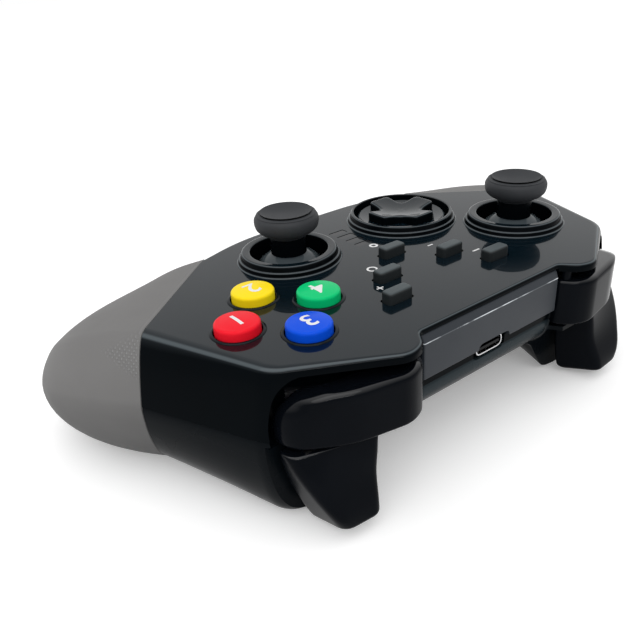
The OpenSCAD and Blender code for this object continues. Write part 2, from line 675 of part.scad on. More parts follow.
module stick_cap() color(rubber_grey) rotate_extrude() polygon([
  [neck_r, cap_base], [neck_r + 0.2, cap_base], [cap_d / 2 - 1.6, stick_top - 4.4],
  [cap_d / 2 - 0.3, stick_top - 3.4], [cap_d / 2, stick_top - 2.4],
  [cap_d / 2 - 0.5, stick_top - 0.9], [cap_d / 2 - 1.7, stick_top], [cap_d / 2 - 2.6, stick_top - 0.2],
  [cap_d / 4, stick_top - 1], [0, stick_top - 1.2], [0, stick_top - 4.6], [neck_r, stick_top - 4.6]
]);
module right_stick_housing() at(right_stick_at) stick_housing();
module right_stick_yoke() at(right_stick_at) stick_yoke();
module right_stick_rocker() at(right_stick_at) stick_rocker();
module right_stick_post() at(right_stick_at) stick_post();
module right_stick_cap() at(right_stick_at) stick_cap();
module left_stick_housing() at(left_stick_at) stick_housing();
module left_stick_yoke() at(left_stick_at) stick_yoke();
module left_stick_rocker() at(left_stick_at) stick_rocker();
module left_stick_post() at(left_stick_at) stick_post();
module left_stick_cap() at(left_stick_at) stick_cap();

// Bumpers turn on upright pins at their inner ends
bumper_corners = [
  [bumper_back[0], 1], [[bumper_in, front_y + 0.3], 0.8], [[plate_half + lip_step, lip_y - 1.6], 1.7],
  [[plate_half + lip_turn, lip_y + 0.2], 2.4], [bumper_knee + [1, lip_y - shoulder_y - 7.2], 8],
  [[shoulder_half + 1.8, shoulder_y + 4.7], 3], [bumper_back[2], 2], [bumper_back[1], 2]
];

// Outer end of a bumper, as [sideways, height] from the start of its slope
slope_at = [shoulder_half - 6.3, -bumper_top];
slope_points = [
  [0, 0], [4, -1.9], [7, -4.9], [8.3, 3.4 - bumper_h], [8, 1.6 - bumper_h], [6.4, -bumper_h],
  [6.4, -bumper_h - 1], [12, -bumper_h - 1], [12, 1], [0, 1]
];
module bumper_slope() translate([slope_at[0], lip_y + 2, slope_at[1]]) rotate([90, 0, 0])
  linear_extrude(lip_y - shoulder_y + 8) polygon(slope_points);
module bumper() difference() {
  slab(ring(bumper_corners), bumper_top, bumper_base);
  bumper_slope();
  at(hinge_at) rod(hinge_pin_d / 2 + pin_gap, bumper_top - 1, bumper_base + 1);
}
module right_bumper() color(gloss_black) bumper();
module left_bumper() color(gloss_black) mirrored() bumper();
module bumper_pins() color(steel) sides() at(hinge_at) rod(hinge_pin_d / 2, lip_t, bay_base);
switch_at = (bay_back[1] + bay_back[2]) / 2;
switch_turn = atan2(bay_back[2][1] - bay_back[1][1], bay_back[2][0] - bay_back[1][0]);
module bumper_switches() color(steel) sides() at(switch_at) rotate([0, 0, switch_turn])
  translate([0, 0.4, 0]) block([4.5, 0.8], bumper_top + 3, bumper_base - 3);

// Triggers swing on pins held in the lower shell's ears
function trigger_ring(r) = let (x = trigger_in, w = trigger_w, z = -trigger_top - r[0] * trigger_h,
    low = z - r[0] * trigger_tilt)
  ring([[[x - trigger_rear_in, bay_wall + r[5], low], 1], [[x + r[6], trigger_front + r[1], z], 1.6],
    [[x + w + r[3], trigger_front + r[2], z], 2.2], [[x + w + r[4], bay_wall + r[5], low], 1.2]]);
trigger_rings = [for (r = trigger_rows) trigger_ring(r)];
module trigger() difference() {
  union() {
    difference() {
      skin(trigger_rings);
      translate([pocket_x[0], bay_wall - 5, trigger_axis[1] - 6.5])
        cube([pocket_x[1] - pocket_x[0], trigger_axis[0] - bay_wall + 7.6, 14]);
    }
    translate([boss_w[0], trigger_axis[0], trigger_axis[1]]) {
      along_x() cylinder(r = 2, h = boss_w[1] - boss_w[0]);
      translate([0, 0, -2]) cube([boss_w[1] - boss_w[0], 4, 3.6]);
    }
  }
  translate([trigger_in - 1, trigger_axis[0], trigger_axis[1]]) along_x()
    cylinder(r = trigger_pin_d / 2 + pin_gap, h = trigger_w);
}
module right_trigger() color(gloss_black) trigger();
module left_trigger() color(gloss_black) mirrored() trigger();
module trigger_pins() color(steel) sides() translate([ear_x[0], trigger_axis[0], trigger_axis[1]]) along_x()
  cylinder(r = trigger_pin_d / 2, h = ear_x[1] - ear_x[0] + ear_w);

// Trigger springs: one wire wound round the pin between an ear and the boss
spring_r = trigger_pin_d / 2 + 0.35 + spring_wire / 2;
spring_start = [boss_w[1] + gap + spring_wire / 2, trigger_axis[0], trigger_axis[1]];
spring_room = ear_x[1] - boss_w[1] - 2 * gap - spring_wire;
spring_step = spring_room / spring_coils;
function wire_point(t) = spring_start + [t / 360 * spring_step, spring_r * cos(t), spring_r * sin(t)];
function wire_ring(t) = let (c = wire_point(t), d = unit(wire_point(t + 1) - wire_point(t - 1)),
    u = unit([0, cos(t), sin(t)]), w = cross(d, u))
  [for (k = [0:5]) c + spring_wire / 2 * (u * cos(k * 60) + w * sin(k * 60))];
module spring() skin([for (i = [0:spring_coils * 8]) wire_ring(i * 45)]);
module right_trigger_spring() color(steel) spring();
module left_trigger_spring() color(steel) mirrored() spring();

// Circuit board, battery, socket and lamp window
module circuit_board() color([0.05, 0.3, 0.15]) difference() {
  slab(inset(inner_corners, wall + 0.8), board_depth, board_depth + board_t);
  translate([-socket_w / 2 - gap, socket_front - socket_l, -board_depth - board_t - 1])
    cube([socket_w + 2 * gap, 30, board_t + 2]);
  sides() for (p = case_screw_at) at(p) rod(boss_r + 0.4, board_depth - 1, board_depth + board_t + 1);
  sides() for (p = board_screw_at) at(p) rod(screw_d / 2 + 0.2, board_depth - 1, board_depth + board_t + 1);
}
module battery() color([0.55, 0.57, 0.6]) at([0, -4])
  bar(battery_w, battery_l, floor_depth - battery_t, floor_depth, 1.5);
module charging_socket() color(steel) translate([0, socket_front, -socket_depth]) rotate([90, 0, 0])
difference() {
  linear_extrude(socket_l) polygon(socket_ring(0));
  translate([0, 0, -1]) linear_extrude(socket_l - 0.2) difference() {
    polygon(socket_ring(0.3));
    square([socket_w - 2.2, 0.7], center = true);
  }
}
function socket_ring(d) = ring([for (c = [[-1, -1], [-1, 1], [1, 1], [1, -1]])
  [[c[0] * (socket_w / 2 - d), c[1] * (socket_h / 2 - d)], socket_h / 2 - d - 0.02]]);
module lamp_window() color([0.85, 0.9, 0.95]) {
  for (i = [0:lamp_count - 1]) at([0, lamp_y - i * lamp_pitch])
    block([lamp_size[0] - 0.2, lamp_size[1] - 0.2], 0.1, wall);
  at([0, lamp_y - (lamp_count - 1) / 2 * lamp_pitch])
    block([lamp_size[0], (lamp_count - 1) * lamp_pitch + lamp_size[1]], wall, wall + 1);
}

// Rubber membranes on the board under the buttons
module pips(places, r, top) for (p = places) at(p) translate([0, 0, -board_depth + sheet_t])
  cylinder(r1 = r, r2 = r * 0.7, h = board_depth - sheet_t - top);
module button_membrane() color(slate) {
  at([cluster_x, cluster_y]) rod(button_pitch - 2, board_depth - sheet_t, board_depth);
  for (p = face_places) at(p) rod(pip_r + 1, board_depth - sheet_t, board_depth);
  pips(face_places, pip_r, button_foot + button_travel + gap);
}
module pad_membrane() color(slate) at(pad_at) {
  tube(pad_post_at + pad_post_r + 0.8, gimbal_reach + 1.6, board_depth - sheet_t, board_depth);
  pips([for (a = [0:90:270]) pad_post_at * [cos(a), sin(a)]], pad_post_r + 0.2, small_foot + 1);
}
module centre_membrane() color(slate) {
  slab([[-plus_x - 4, plus_y + 2.4], [plus_x + 4, plus_y + 2.4], [home_x + 4, home_y - 3], [4, capture_y - 3],
    [-4, capture_y - 3], [-home_x - 4, home_y - 3]], board_depth - sheet_t, board_depth);
  pips(small_places, 1.3, small_foot + small_travel + gap);
}

// Rumble motors with off centre weights
module motor() at_joint() translate(motor_at) along_x() {
  translate([0, 0, -motor_l]) cylinder(d = motor_d, h = motor_l);
  cylinder(r = 1, h = weight_l + 1.6);
}
module weight() at_joint() translate(motor_at) along_x() translate([0, 0, 1]) difference() {
  union() {
    cylinder(r = 2.6, h = weight_l);
    intersection() {
      cylinder(r = weight_r, h = weight_l);
      translate([0, -20, 0]) cube([20, 40, weight_l]);
    }
  }
  translate([0, 0, -1]) cylinder(r = 1 + pin_gap, h = weight_l + 2);
}
module right_motor() color(steel) motor();
module left_motor() color(steel) mirrored() motor();
module right_weight() color(steel) weight();
module left_weight() color(steel) mirrored() weight();

// Fasteners
module case_screws() color(steel) sides() for (p = case_screw_at) at(p) {
  rod(screw_d / 2 - 0.1, seam_depth - case_bite, floor_depth - head_h + 0.2);
  rod(head_r, floor_depth - head_h, floor_depth + 0.4);
}
module board_screws() color(steel) sides() for (p = board_screw_at) at(p) {
  rod(screw_d / 2 - 0.1, board_depth - board_bite, board_depth + board_t);
  rod(head_r, board_depth + board_t, board_depth + board_t + head_h);
}

place() {
  top_shell();
  bottom_shell();
  front_plate();
  right_grip();
  left_grip();
  east_button();
  south_button();
  north_button();
  west_button();
  plus_button();
  minus_button();
  home_button();
  turbo_button();
  capture_button();
  direction_pad();
  pad_rocker();
  pad_seat();
  right_stick_housing();
  right_stick_yoke();
  right_stick_rocker();
  right_stick_post();
  right_stick_cap();
  left_stick_housing();
  left_stick_yoke();
  left_stick_rocker();
  left_stick_post();
  left_stick_cap();
  right_bumper();
  left_bumper();
  bumper_pins();
  bumper_switches();
  right_trigger();
  left_trigger();
  trigger_pins();
  right_trigger_spring();
  left_trigger_spring();
  circuit_board();
  battery();
  charging_socket();
  lamp_window();
  button_membrane();
  pad_membrane();
  centre_membrane();
  right_motor();
  left_motor();
  right_weight();
  left_weight();
  case_screws();
  board_screws();
}
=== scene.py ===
import math
import bpy
import bmesh
import numpy as np
from mathutils import Matrix, Vector


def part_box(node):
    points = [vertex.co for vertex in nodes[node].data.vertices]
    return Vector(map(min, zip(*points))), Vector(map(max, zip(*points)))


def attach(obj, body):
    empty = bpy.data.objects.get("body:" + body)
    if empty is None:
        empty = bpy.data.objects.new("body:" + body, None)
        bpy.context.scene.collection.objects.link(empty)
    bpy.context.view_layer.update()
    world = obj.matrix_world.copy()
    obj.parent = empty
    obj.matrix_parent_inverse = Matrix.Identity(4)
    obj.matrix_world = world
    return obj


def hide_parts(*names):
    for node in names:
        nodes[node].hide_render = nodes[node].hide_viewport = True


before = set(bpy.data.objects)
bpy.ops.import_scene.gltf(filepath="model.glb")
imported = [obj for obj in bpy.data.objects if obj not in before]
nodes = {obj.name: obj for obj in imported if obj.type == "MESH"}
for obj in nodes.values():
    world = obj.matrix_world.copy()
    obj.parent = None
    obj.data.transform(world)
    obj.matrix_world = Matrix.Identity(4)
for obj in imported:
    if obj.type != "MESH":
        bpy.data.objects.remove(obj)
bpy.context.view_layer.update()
faceHeight = 38.5  # millimetres from the table to the button face
socketDepth = 13.0  # from the face to the middle of the charging socket
clusterY = 11.2  # middle of the face buttons, as drawn
eastLow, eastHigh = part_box("east_button")
midShift = (eastLow.y + eastHigh.y) * 500 - clusterY  # from the drawn middle to the frame's
print("stage: frame loaded")


def addObject(name, data):
    obj = bpy.data.objects.new(name, data)
    bpy.context.scene.collection.objects.link(obj)
    return obj


# camera at the photograph's angle
cameraLook = {"place": (0.107735, 0.119795 + midShift / 1000, 0.066633 + faceHeight / 1000),
              "yaw": 215.94, "pitch": 28.27, "roll": -3.985, "lens": 37.36, "sensor": 36, "nearest": 0.005}
yaw, pitch, roll = (math.radians(cameraLook[key]) for key in ("yaw", "pitch", "roll"))
forward = Vector((math.sin(yaw) * math.cos(pitch), math.cos(yaw) * math.cos(pitch), -math.sin(pitch)))
sideways = forward.cross(Vector((0, 0, 1))).normalized()
upward = sideways.cross(forward)
rolledSide = math.cos(roll) * sideways + math.sin(roll) * upward
rolledUp = -math.sin(roll) * sideways + math.cos(roll) * upward
cameraData = bpy.data.cameras.new("camera")
cameraData.lens = cameraLook["lens"]
cameraData.sensor_width = cameraLook["sensor"]
cameraData.clip_start = cameraLook["nearest"]
cameraObject = addObject("camera", cameraData)
turn = Matrix((rolledSide, rolledUp, -forward)).transposed()
cameraObject.matrix_world = Matrix.Translation(cameraLook["place"]) @ turn.to_4x4()
bpy.context.scene.camera = cameraObject
print("stage: camera")

# mesh helpers, in millimetres with the face at height 0
meshLook = {"weld": 1e-7, "edgeShare": 0.97, "straight": 0.05}  # the weld is in metres
squareCorners = [(-1, -1), (-1, 1), (1, 1), (1, -1)]


def toMetres(points):
    return (np.asarray(points, float) + np.array([0, midShift, faceHeight])) / 1000


def addMesh(name, points, faces):
    mesh = bpy.data.meshes.new(name)
    mesh.from_pydata([tuple(p) for p in toMetres(points)], [], faces)
    work = bmesh.new()
    work.from_mesh(mesh)
    bmesh.ops.remove_doubles(work, verts=work.verts, dist=meshLook["weld"])
    manySided = [f for f in work.faces if len(f.verts) > 4]
    bmesh.ops.triangulate(work, faces=manySided, ngon_method="EAR_CLIP")
    bmesh.ops.recalc_face_normals(work, faces=work.faces)
    work.to_mesh(mesh)
    work.free()
    return addObject(name, mesh)


def unit(v):
    return v / np.linalg.norm(v)


def bezierCorner(before, corner, after, rounding, count):
    if rounding <= 0:
        return [corner]
    start = corner + rounding * unit(before - corner)
    end = corner + rounding * unit(after - corner)
    steps = np.linspace(0, 1, count + 1)
    return [(1 - t) ** 2 * start + 2 * t * (1 - t) * corner + t * t * end for t in steps]


def closedRing(corners, count=8, between=3):  # corners are (place, rounding)
    total = len(corners)
    places = [np.array(corner[0], float) for corner in corners]
    radii = [corner[1] for corner in corners]
    room = []
    for i in range(total):
        j = (i + 1) % total
        length = np.linalg.norm(places[j] - places[i])
        room.append(meshLook["edgeShare"] * length / max(radii[i] + radii[j], 1e-6))
    arcs = []
    for i in range(total):
        rounding = radii[i] * min(1, room[i - 1], room[i])
        arcs.append(bezierCorner(places[i - 1], places[i], places[(i + 1) % total], rounding, count))
    ring = []
    for i in range(total):
        start, end = arcs[i][-1], arcs[(i + 1) % total][0]
        ring += arcs[i] + [start + (end - start) * k / (between + 1) for k in range(1, between + 1)]
    return np.array(ring)


def roundLine(corners, count=6):  # corners are (across, height, rounding), the ends stay sharp
    line = []
    for i, corner in enumerate(corners):
        sharp = len(corner) < 3 or i in (0, len(corners) - 1)
        before = np.array(corners[i - 1][:2], float)
        after = np.array(corners[(i + 1) % len(corners)][:2], float)
        line += bezierCorner(before, np.array(corner[:2], float), after, 0 if sharp else corner[2], count)
    return line


def insetCorners(places, distances):  # clockwise outline, one distance for each edge
    total = len(places)
    moved = []
    for i in range(total):
        u = unit(places[i] - places[i - 1])
        w = unit(places[(i + 1) % total] - places[i])
        inner = np.array([[u[1], -u[0]], [w[1], -w[0]]])
        wanted = np.array([distances[i - 1], distances[i]])
        if abs(np.linalg.det(inner)) < meshLook["straight"]:
            moved.append(places[i] + inner[0] * wanted.max())
        else:
            moved.append(places[i] + np.linalg.solve(inner, wanted))
    return np.array(moved)


def atHeight(ring, height):
    return np.column_stack([ring, np.full(len(ring), height)])


def circleRing(radius, place, sides=64):
    turns = [2 * math.pi * k / sides for k in range(sides)]
    return [(place[0] + radius * math.cos(a), place[1] + radius * math.sin(a)) for a in turns]


def barRing(width, depth, rounding, place, count=5):
    corners = [(place[0] + c[0] * width / 2, place[1] + c[1] * depth / 2) for c in squareCorners]
    return closedRing([(corner, rounding) for corner in corners], count, 0)


def loft(name, rings, flat=False):  # ends are flat faces or fans
    size = len(rings[0])
    points = np.vstack(rings)
    faces = []
    for k in range(len(rings) - 1):
        for i in range(size):
            j = (i + 1) % size
            faces.append((k * size + i, k * size + j, (k + 1) * size + j, (k + 1) * size + i))
    for ring, base in ((rings[0], 0), (rings[-1], (len(rings) - 1) * size)):
        if flat:
            faces.append(tuple(range(base, base + size)))
            continue
        points = np.vstack([points, np.array(ring).mean(axis=0)])
        faces += [(base + i, base + (i + 1) % size, len(points) - 1) for i in range(size)]
    return addMesh(name, points, faces)


def lathe(name, profile, place, sides=96, closed=False):
    points, faces, rows = [], [], []
    for r, z in profile:
        onAxis = r < 1e-6
        rows.append(list(range(len(points), len(points) + (1 if onAxis else sides))))
        points += [(place[0], place[1], z)] if onAxis else [(*p, z) for p in circleRing(r, place, sides)]
    pairs = list(zip(rows[:-1], rows[1:]))
    if closed:
        pairs.append((rows[-1], rows[0]))
    for a, b in pairs:
        for k in range(sides):
            j = (k + 1) % sides
            if len(a) == 1 and len(b) > 1:
                faces.append((a[0], b[k], b[j]))
            elif len(b) == 1 and len(a) > 1:
                faces.append((a[k], b[0], a[j]))
            elif len(a) > 1:
                faces.append((a[k], b[k], b[j], a[j]))
    return addMesh(name, points, faces)


def capped(name, first, second):  # straight piece between two equal outlines
    size = len(first)
    faces = [tuple(range(size)), tuple(range(2 * size - 1, size - 1, -1))]
    faces += [(i, i + size, (i + 1) % size + size, (i + 1) % size) for i in range(size)]
    return addMesh(name, first + second, faces)


def prism(name, outline, top, bottom):
    return capped(name, [(p[0], p[1], top) for p in outline], [(p[0], p[1], bottom) for p in outline])


def boxMesh(name, low, high):
    outline = [(low[0], low[1]), (low[0], high[1]), (high[0], high[1]), (high[0], low[1])]
    return prism(name, outline, high[2], low[2])


def rodAlongX(name, radius, place, length, sides=32):
    ring = circleRing(radius, place[1:], sides)
    return capped(name, [(place[0], *p) for p in ring], [(place[0] + length, *p) for p in ring])


def bake(obj):
    graph = bpy.context.evaluated_depsgraph_get()
    mesh = bpy.data.meshes.new_from_object(obj.evaluated_get(graph), depsgraph=graph)
    old = obj.data
    obj.modifiers.clear()
    obj.data = mesh
    bpy.data.meshes.remove(old)


def drop(obj):
    mesh = obj.data
    bpy.data.objects.remove(obj)
    bpy.data.meshes.remove(mesh)


def cut(obj, cutters):
    for cutter in cutters:
        step = obj.modifiers.new("cut", "BOOLEAN")
        step.object = cutter
        step.solver = "EXACT"
        step.operation = "DIFFERENCE"
    bake(obj)
    for cutter in cutters:
        drop(cutter)


def join(obj, others):
    work = bmesh.new()
    work.from_mesh(obj.data)
    for other in others:
        work.from_mesh(other.data)
        drop(other)
    work.to_mesh(obj.data)
    work.free()


def shade(obj, angle):
    obj.data.shade_smooth()
    obj.data.set_sharp_from_angle(angle=math.radians(angle))
    step = obj.modifiers.new("normals", "WEIGHTED_NORMAL")
    step.keep_sharp = True


def mirrored(obj, name):
    twin = addObject(name, obj.data.copy())
    twin.data.transform(Matrix.Diagonal((-1, 1, 1, 1)))
    twin.data.flip_normals()
    return twin


def settle(obj, body, material, replaced=None, angle=35):
    shade(obj, angle)
    obj.data.materials.clear()
    obj.data.materials.append(material)
    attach(obj, body)
    if replaced:
        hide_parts(replaced)


def settlePair(right, piece, bodies, material, angle=35):  # the left piece is the right one mirrored
    pair = (right, mirrored(right, "left_" + piece + "_skin"))
    for side, obj, body in zip(("right", "left"), pair, bodies):
        settle(obj, body, material, side + "_" + piece, angle)


# shader helpers
def newGroup(name, inputs, outputs):
    tree = bpy.data.node_groups.new(name, "ShaderNodeTree")
    for label, value in inputs.items():
        socket = tree.interface.new_socket(name=label, in_out="INPUT", socket_type="NodeSocketFloat")
        socket.default_value = value
    for label in outputs:
        tree.interface.new_socket(name=label, in_out="OUTPUT", socket_type="NodeSocketFloat")
    return tree, tree.nodes.new("NodeGroupOutput").inputs


def groupInput(tree, label):
    return tree.nodes.new("NodeGroupInput").outputs[label]


def useGroup(tree, group):
    step = tree.nodes.new("ShaderNodeGroup")
    step.node_tree = group
    return step


def feed(tree, value, socket):  # numbers and colours are set, sockets are linked
    if isinstance(value, (int, float, tuple)):
        socket.default_value = value
    else:
        tree.links.new(value, socket)


def calc(tree, operation, *values):
    step = tree.nodes.new("ShaderNodeMath")
    step.operation = operation
    for k, value in enumerate(values):
        feed(tree, value, step.inputs[k])
    return step.outputs[0]


def mapRange(tree, source, span, result=(0, 1)):
    step = tree.nodes.new("ShaderNodeMapRange")
    tree.links.new(source, step.inputs["Value"])
    for label, value in zip(("From Min", "From Max", "To Min", "To Max"), (*span, *result)):
        step.inputs[label].default_value = value
    return step.outputs["Result"]


def mixColour(tree, share, first, second):
    step = tree.nodes.new("ShaderNodeMix")
    step.data_type = "RGBA"
    for label, value in (("Factor", share), ("A", first), ("B", second)):
        feed(tree, value, step.inputs[label])
    return step.outputs["Result"]


def noise(tree, scale, detail):
    step = tree.nodes.new("ShaderNodeTexNoise")
    tree.links.new(tree.nodes.new("ShaderNodeTexCoord").outputs["Object"], step.inputs["Vector"])
    step.inputs["Detail"].default_value = detail
    feed(tree, scale, step.inputs["Scale"])
    return step.outputs["Fac"]


def coordParts(tree, kind):  # x, y and z of a texture coordinate
    split = tree.nodes.new("ShaderNodeSeparateXYZ")
    tree.links.new(tree.nodes.new("ShaderNodeTexCoord").outputs[kind], split.inputs["Vector"])
    return split.outputs["X"], split.outputs["Y"], split.outputs["Z"]


# fine grain of a moulded surface and a slow change of tint
grainLook = {"scale": 2200.0, "detail": 3, "tintScale": 90.0, "tintDetail": 4}
grainGroup, grainOut = newGroup("mouldGrain", {"Scale": grainLook["scale"]}, ["Height", "Tint"])
grainHeight = noise(grainGroup, groupInput(grainGroup, "Scale"), grainLook["detail"])
grainGroup.links.new(grainHeight, grainOut["Height"])
grainGroup.links.new(noise(grainGroup, grainLook["tintScale"], grainLook["tintDetail"]), grainOut["Tint"])

# smudges from handling
marksLook = {"scale": 70.0, "detail": 6, "span": (0.35, 0.7)}
marksGroup, marksOut = newGroup("handlingMarks", {"Scale": marksLook["scale"]}, ["Smudge"])
smudge = noise(marksGroup, groupInput(marksGroup, "Scale"), marksLook["detail"])
marksGroup.links.new(mapRange(marksGroup, smudge, marksLook["span"]), marksOut["Smudge"])

# how far a surface faces up, as a narrow mask and as a wide slope
upLook = {"mask": (0.5, 0.95), "slope": (-0.75, 0.55)}
upGroup, upOut = newGroup("upwardMask", {}, ["Mask", "Slope"])
upZ = coordParts(upGroup, "Normal")[2]
upGroup.links.new(mapRange(upGroup, upZ, upLook["mask"]), upOut["Mask"])
upGroup.links.new(mapRange(upGroup, upZ, upLook["slope"]), upOut["Slope"])

# dotted patch on the grips beside their joint, in metres
jointTurn = math.radians(41.4)  # direction of the joint between body and grip
dotLook = {"start": -0.04543, "height": 0.034, "half": 0.0052, "reach": 0.0105, "pitch": 0.0012,
           "border": (0, 0.0014), "first": (0.0003, 0.0009), "raised": (0.05, 0.6)}
dotGroup, dotOut = newGroup("gripDots", {}, ["Dots"])
dotX, dotY, dotZ = coordParts(dotGroup, "Object")
dotShift = dotLook["start"] + midShift / 1000 * math.cos(jointTurn)
along = calc(dotGroup, "MULTIPLY_ADD", calc(dotGroup, "ABSOLUTE", dotX), math.sin(jointTurn), dotShift)
along = calc(dotGroup, "MULTIPLY_ADD", dotY, -math.cos(jointTurn), along)
offside = calc(dotGroup, "ABSOLUTE", calc(dotGroup, "SUBTRACT", dotZ, dotLook["height"]))
taper = calc(dotGroup, "MULTIPLY_ADD", along, -dotLook["half"] / dotLook["reach"], dotLook["half"])
patch = mapRange(dotGroup, calc(dotGroup, "SUBTRACT", taper, offside), dotLook["border"])
patch = calc(dotGroup, "MULTIPLY", patch, mapRange(dotGroup, along, dotLook["first"]))
waves = []
for way in (along, dotZ):
    waves.append(calc(dotGroup, "SINE", calc(dotGroup, "MULTIPLY", way, 2 * math.pi / dotLook["pitch"])))
bumps = mapRange(dotGroup, calc(dotGroup, "MULTIPLY", *waves), dotLook["raised"])
dotGroup.links.new(calc(dotGroup, "MULTIPLY", bumps, patch), dotOut["Dots"])

# painted highlight: a bright, broken glint along a crease, in metres
creaseGlintLook = {"height": 0.0353, "width": (0.00004, 0.00015), "scale": 240.0, "detail": 4,
              "span": (0.4, 0.62), "faint": 0.1}
creaseGlintGroup, creaseOut = newGroup("paintedCreaseGlint", {"Height": creaseGlintLook["height"]}, ["Line"])
creaseZ = coordParts(creaseGlintGroup, "Object")[2]
creaseGap = calc(creaseGlintGroup, "SUBTRACT", creaseZ, groupInput(creaseGlintGroup, "Height"))
narrow = mapRange(creaseGlintGroup, calc(creaseGlintGroup, "ABSOLUTE", creaseGap), creaseGlintLook["width"], (1, 0))
broken = noise(creaseGlintGroup, creaseGlintLook["scale"], creaseGlintLook["detail"])
broken = mapRange(creaseGlintGroup, broken, creaseGlintLook["span"], (creaseGlintLook["faint"], 1))
creaseGlintGroup.links.new(calc(creaseGlintGroup, "MULTIPLY", narrow, broken), creaseOut["Line"])

# shared by the finishes, the last two unless a finish has its own
finishLook = {"tintShare": 0.16, "relief": 0.00003, "coatRough": 0.04, "specular": 0.5}


def finish(name, look):  # one moulded, rubber or metal finish
    material = bpy.data.materials.new(name)
    material.use_nodes = True
    tree = material.node_tree
    shader = tree.nodes["Principled BSDF"]
    grain = useGroup(tree, grainGroup)
    grain.inputs["Scale"].default_value = look["grain"]
    marks = useGroup(tree, marksGroup)
    marks.inputs["Scale"].default_value = marksLook["scale"]
    tintAndShade = grain.outputs["Tint"]
    # painted shade: the colour is lighter where a surface faces up and darker where it turns down
    if "paintedShadeBy" in look:  # darker where the surface turns down
        facing = useGroup(tree, upGroup).outputs[look["paintedShadeBy"]]
        tintAndShade = calc(tree, "MULTIPLY_ADD", tintAndShade, finishLook["tintShare"], facing)
    colour = mixColour(tree, tintAndShade, (*look["dark"], 1), (*look["light"], 1))
    tree.links.new(colour, shader.inputs["Base Color"])
    tree.links.new(mapRange(tree, marks.outputs["Smudge"], (0, 1), look["rough"]), shader.inputs["Roughness"])
    bump = tree.nodes.new("ShaderNodeBump")
    bump.inputs["Strength"].default_value = look["bump"]
    bump.inputs["Distance"].default_value = finishLook["relief"]
    tree.links.new(grain.outputs["Height"], bump.inputs["Height"])
    tree.links.new(bump.outputs["Normal"], shader.inputs["Normal"])
    shader.inputs["Metallic"].default_value = look.get("metal", 0)
    shader.inputs["Specular IOR Level"].default_value = look.get("specular", finishLook["specular"])
    if "coat" in look:  # weight on the sides and on top
        shader.inputs["Coat Roughness"].default_value = look.get("coatRough", finishLook["coatRough"])
        facing = useGroup(tree, upGroup).outputs["Mask"]
        tree.links.new(mapRange(tree, facing, (0, 1), look["coat"]), shader.inputs["Coat Weight"])
    return material


def overlay(material, mask, colour):  # lays a colour over the base by a mask
    tree = material.node_tree
    base = tree.nodes["Principled BSDF"].inputs["Base Color"]
    tree.links.new(mixColour(tree, mask, base.links[0].from_socket, (*colour, 1)), base)


# gloss of the upper shell, with painted shade (a lighter, bluish top and darker sides) and a painted highlight
# along its rounded edges
glossLook = {"dark": (0.0012, 0.0018, 0.0024), "light": (0.0024, 0.0068, 0.0105), "paintedShadeBy": "Mask",
             "grain": 500.0, "rough": (0.14, 0.22), "bump": 0.02, "specular": 0.02,
             "coat": (0.004, 0.55), "coatRough": 0.03}
paintedSheenLook = {"rise": (0.4, 0.65), "fall": (0.86, 0.99), "colour": (0.06, 0.074, 0.082)}
glossBlack = finish("gloss_black", glossLook)
# the button rings get the same painted shade, lighter on top and darker on the sides
ringBlack = finish("ring_black", {**glossLook, "light": (0.0024, 0.0055, 0.008), "coat": (0.004, 0.3),
                                  "coatRough": 0.05})
glossTree = glossBlack.node_tree
glossUp = useGroup(glossTree, upGroup).outputs["Mask"]
# painted highlight: a lighter colour where the surface turns from the top to the sides, on the rounded edges
paintedEdgeSheen = calc(glossTree, "MULTIPLY", mapRange(glossTree, glossUp, paintedSheenLook["rise"]),
                 mapRange(glossTree, glossUp, paintedSheenLook["fall"], (1, 0)))
overlay(glossBlack, paintedEdgeSheen, paintedSheenLook["colour"])
shoulderBlack = finish("shoulder_black", {"dark": (0.0012, 0.0018, 0.003), "light": (0.003, 0.004, 0.006),
                       "grain": 600.0, "rough": (0.14, 0.24), "bump": 0.02, "specular": 0.03,
                       "coat": (0.012, 1.0), "coatRough": 0.04})

# lower shell, with a painted reflection: a lighter strip under the front plate
lowerBlack = finish("lower_black", {"dark": (0.0015, 0.0025, 0.0035), "light": (0.003, 0.0045, 0.006),
                    "grain": 700.0, "rough": (0.2, 0.32), "bump": 0.03, "specular": 0.03,
                    "coat": (0.012, 0.4), "coatRough": 0.08})
paintedStripLook = {"front": (0.0372, 0.0388), "half": (0.0205, 0.0235), "share": 0.9, "colour": (0.02, 0.029, 0.034)}
lowerTree = lowerBlack.node_tree
lowerX, lowerY = coordParts(lowerTree, "Object")[:2]
paintedStripFront = mapRange(lowerTree, lowerY, paintedStripLook["front"], (0, paintedStripLook["share"]))
paintedStripHalf = mapRange(lowerTree, calc(lowerTree, "ABSOLUTE", lowerX), paintedStripLook["half"], (1, 0))
# painted reflection of the floor on the strip under the front plate
overlay(lowerBlack, calc(lowerTree, "MULTIPLY", paintedStripFront, paintedStripHalf), paintedStripLook["colour"])
plateGrey = finish("plate_grey", {"dark": (0.017, 0.021, 0.027), "light": (0.026, 0.031, 0.038),
                   "grain": 1800.0, "rough": (0.34, 0.46), "bump": 0.12, "specular": 0.22})
# painted highlight: the glint along the plate's crease
overlay(plateGrey, useGroup(plateGrey.node_tree, creaseGlintGroup).outputs["Line"], (0.72, 0.76, 0.8))

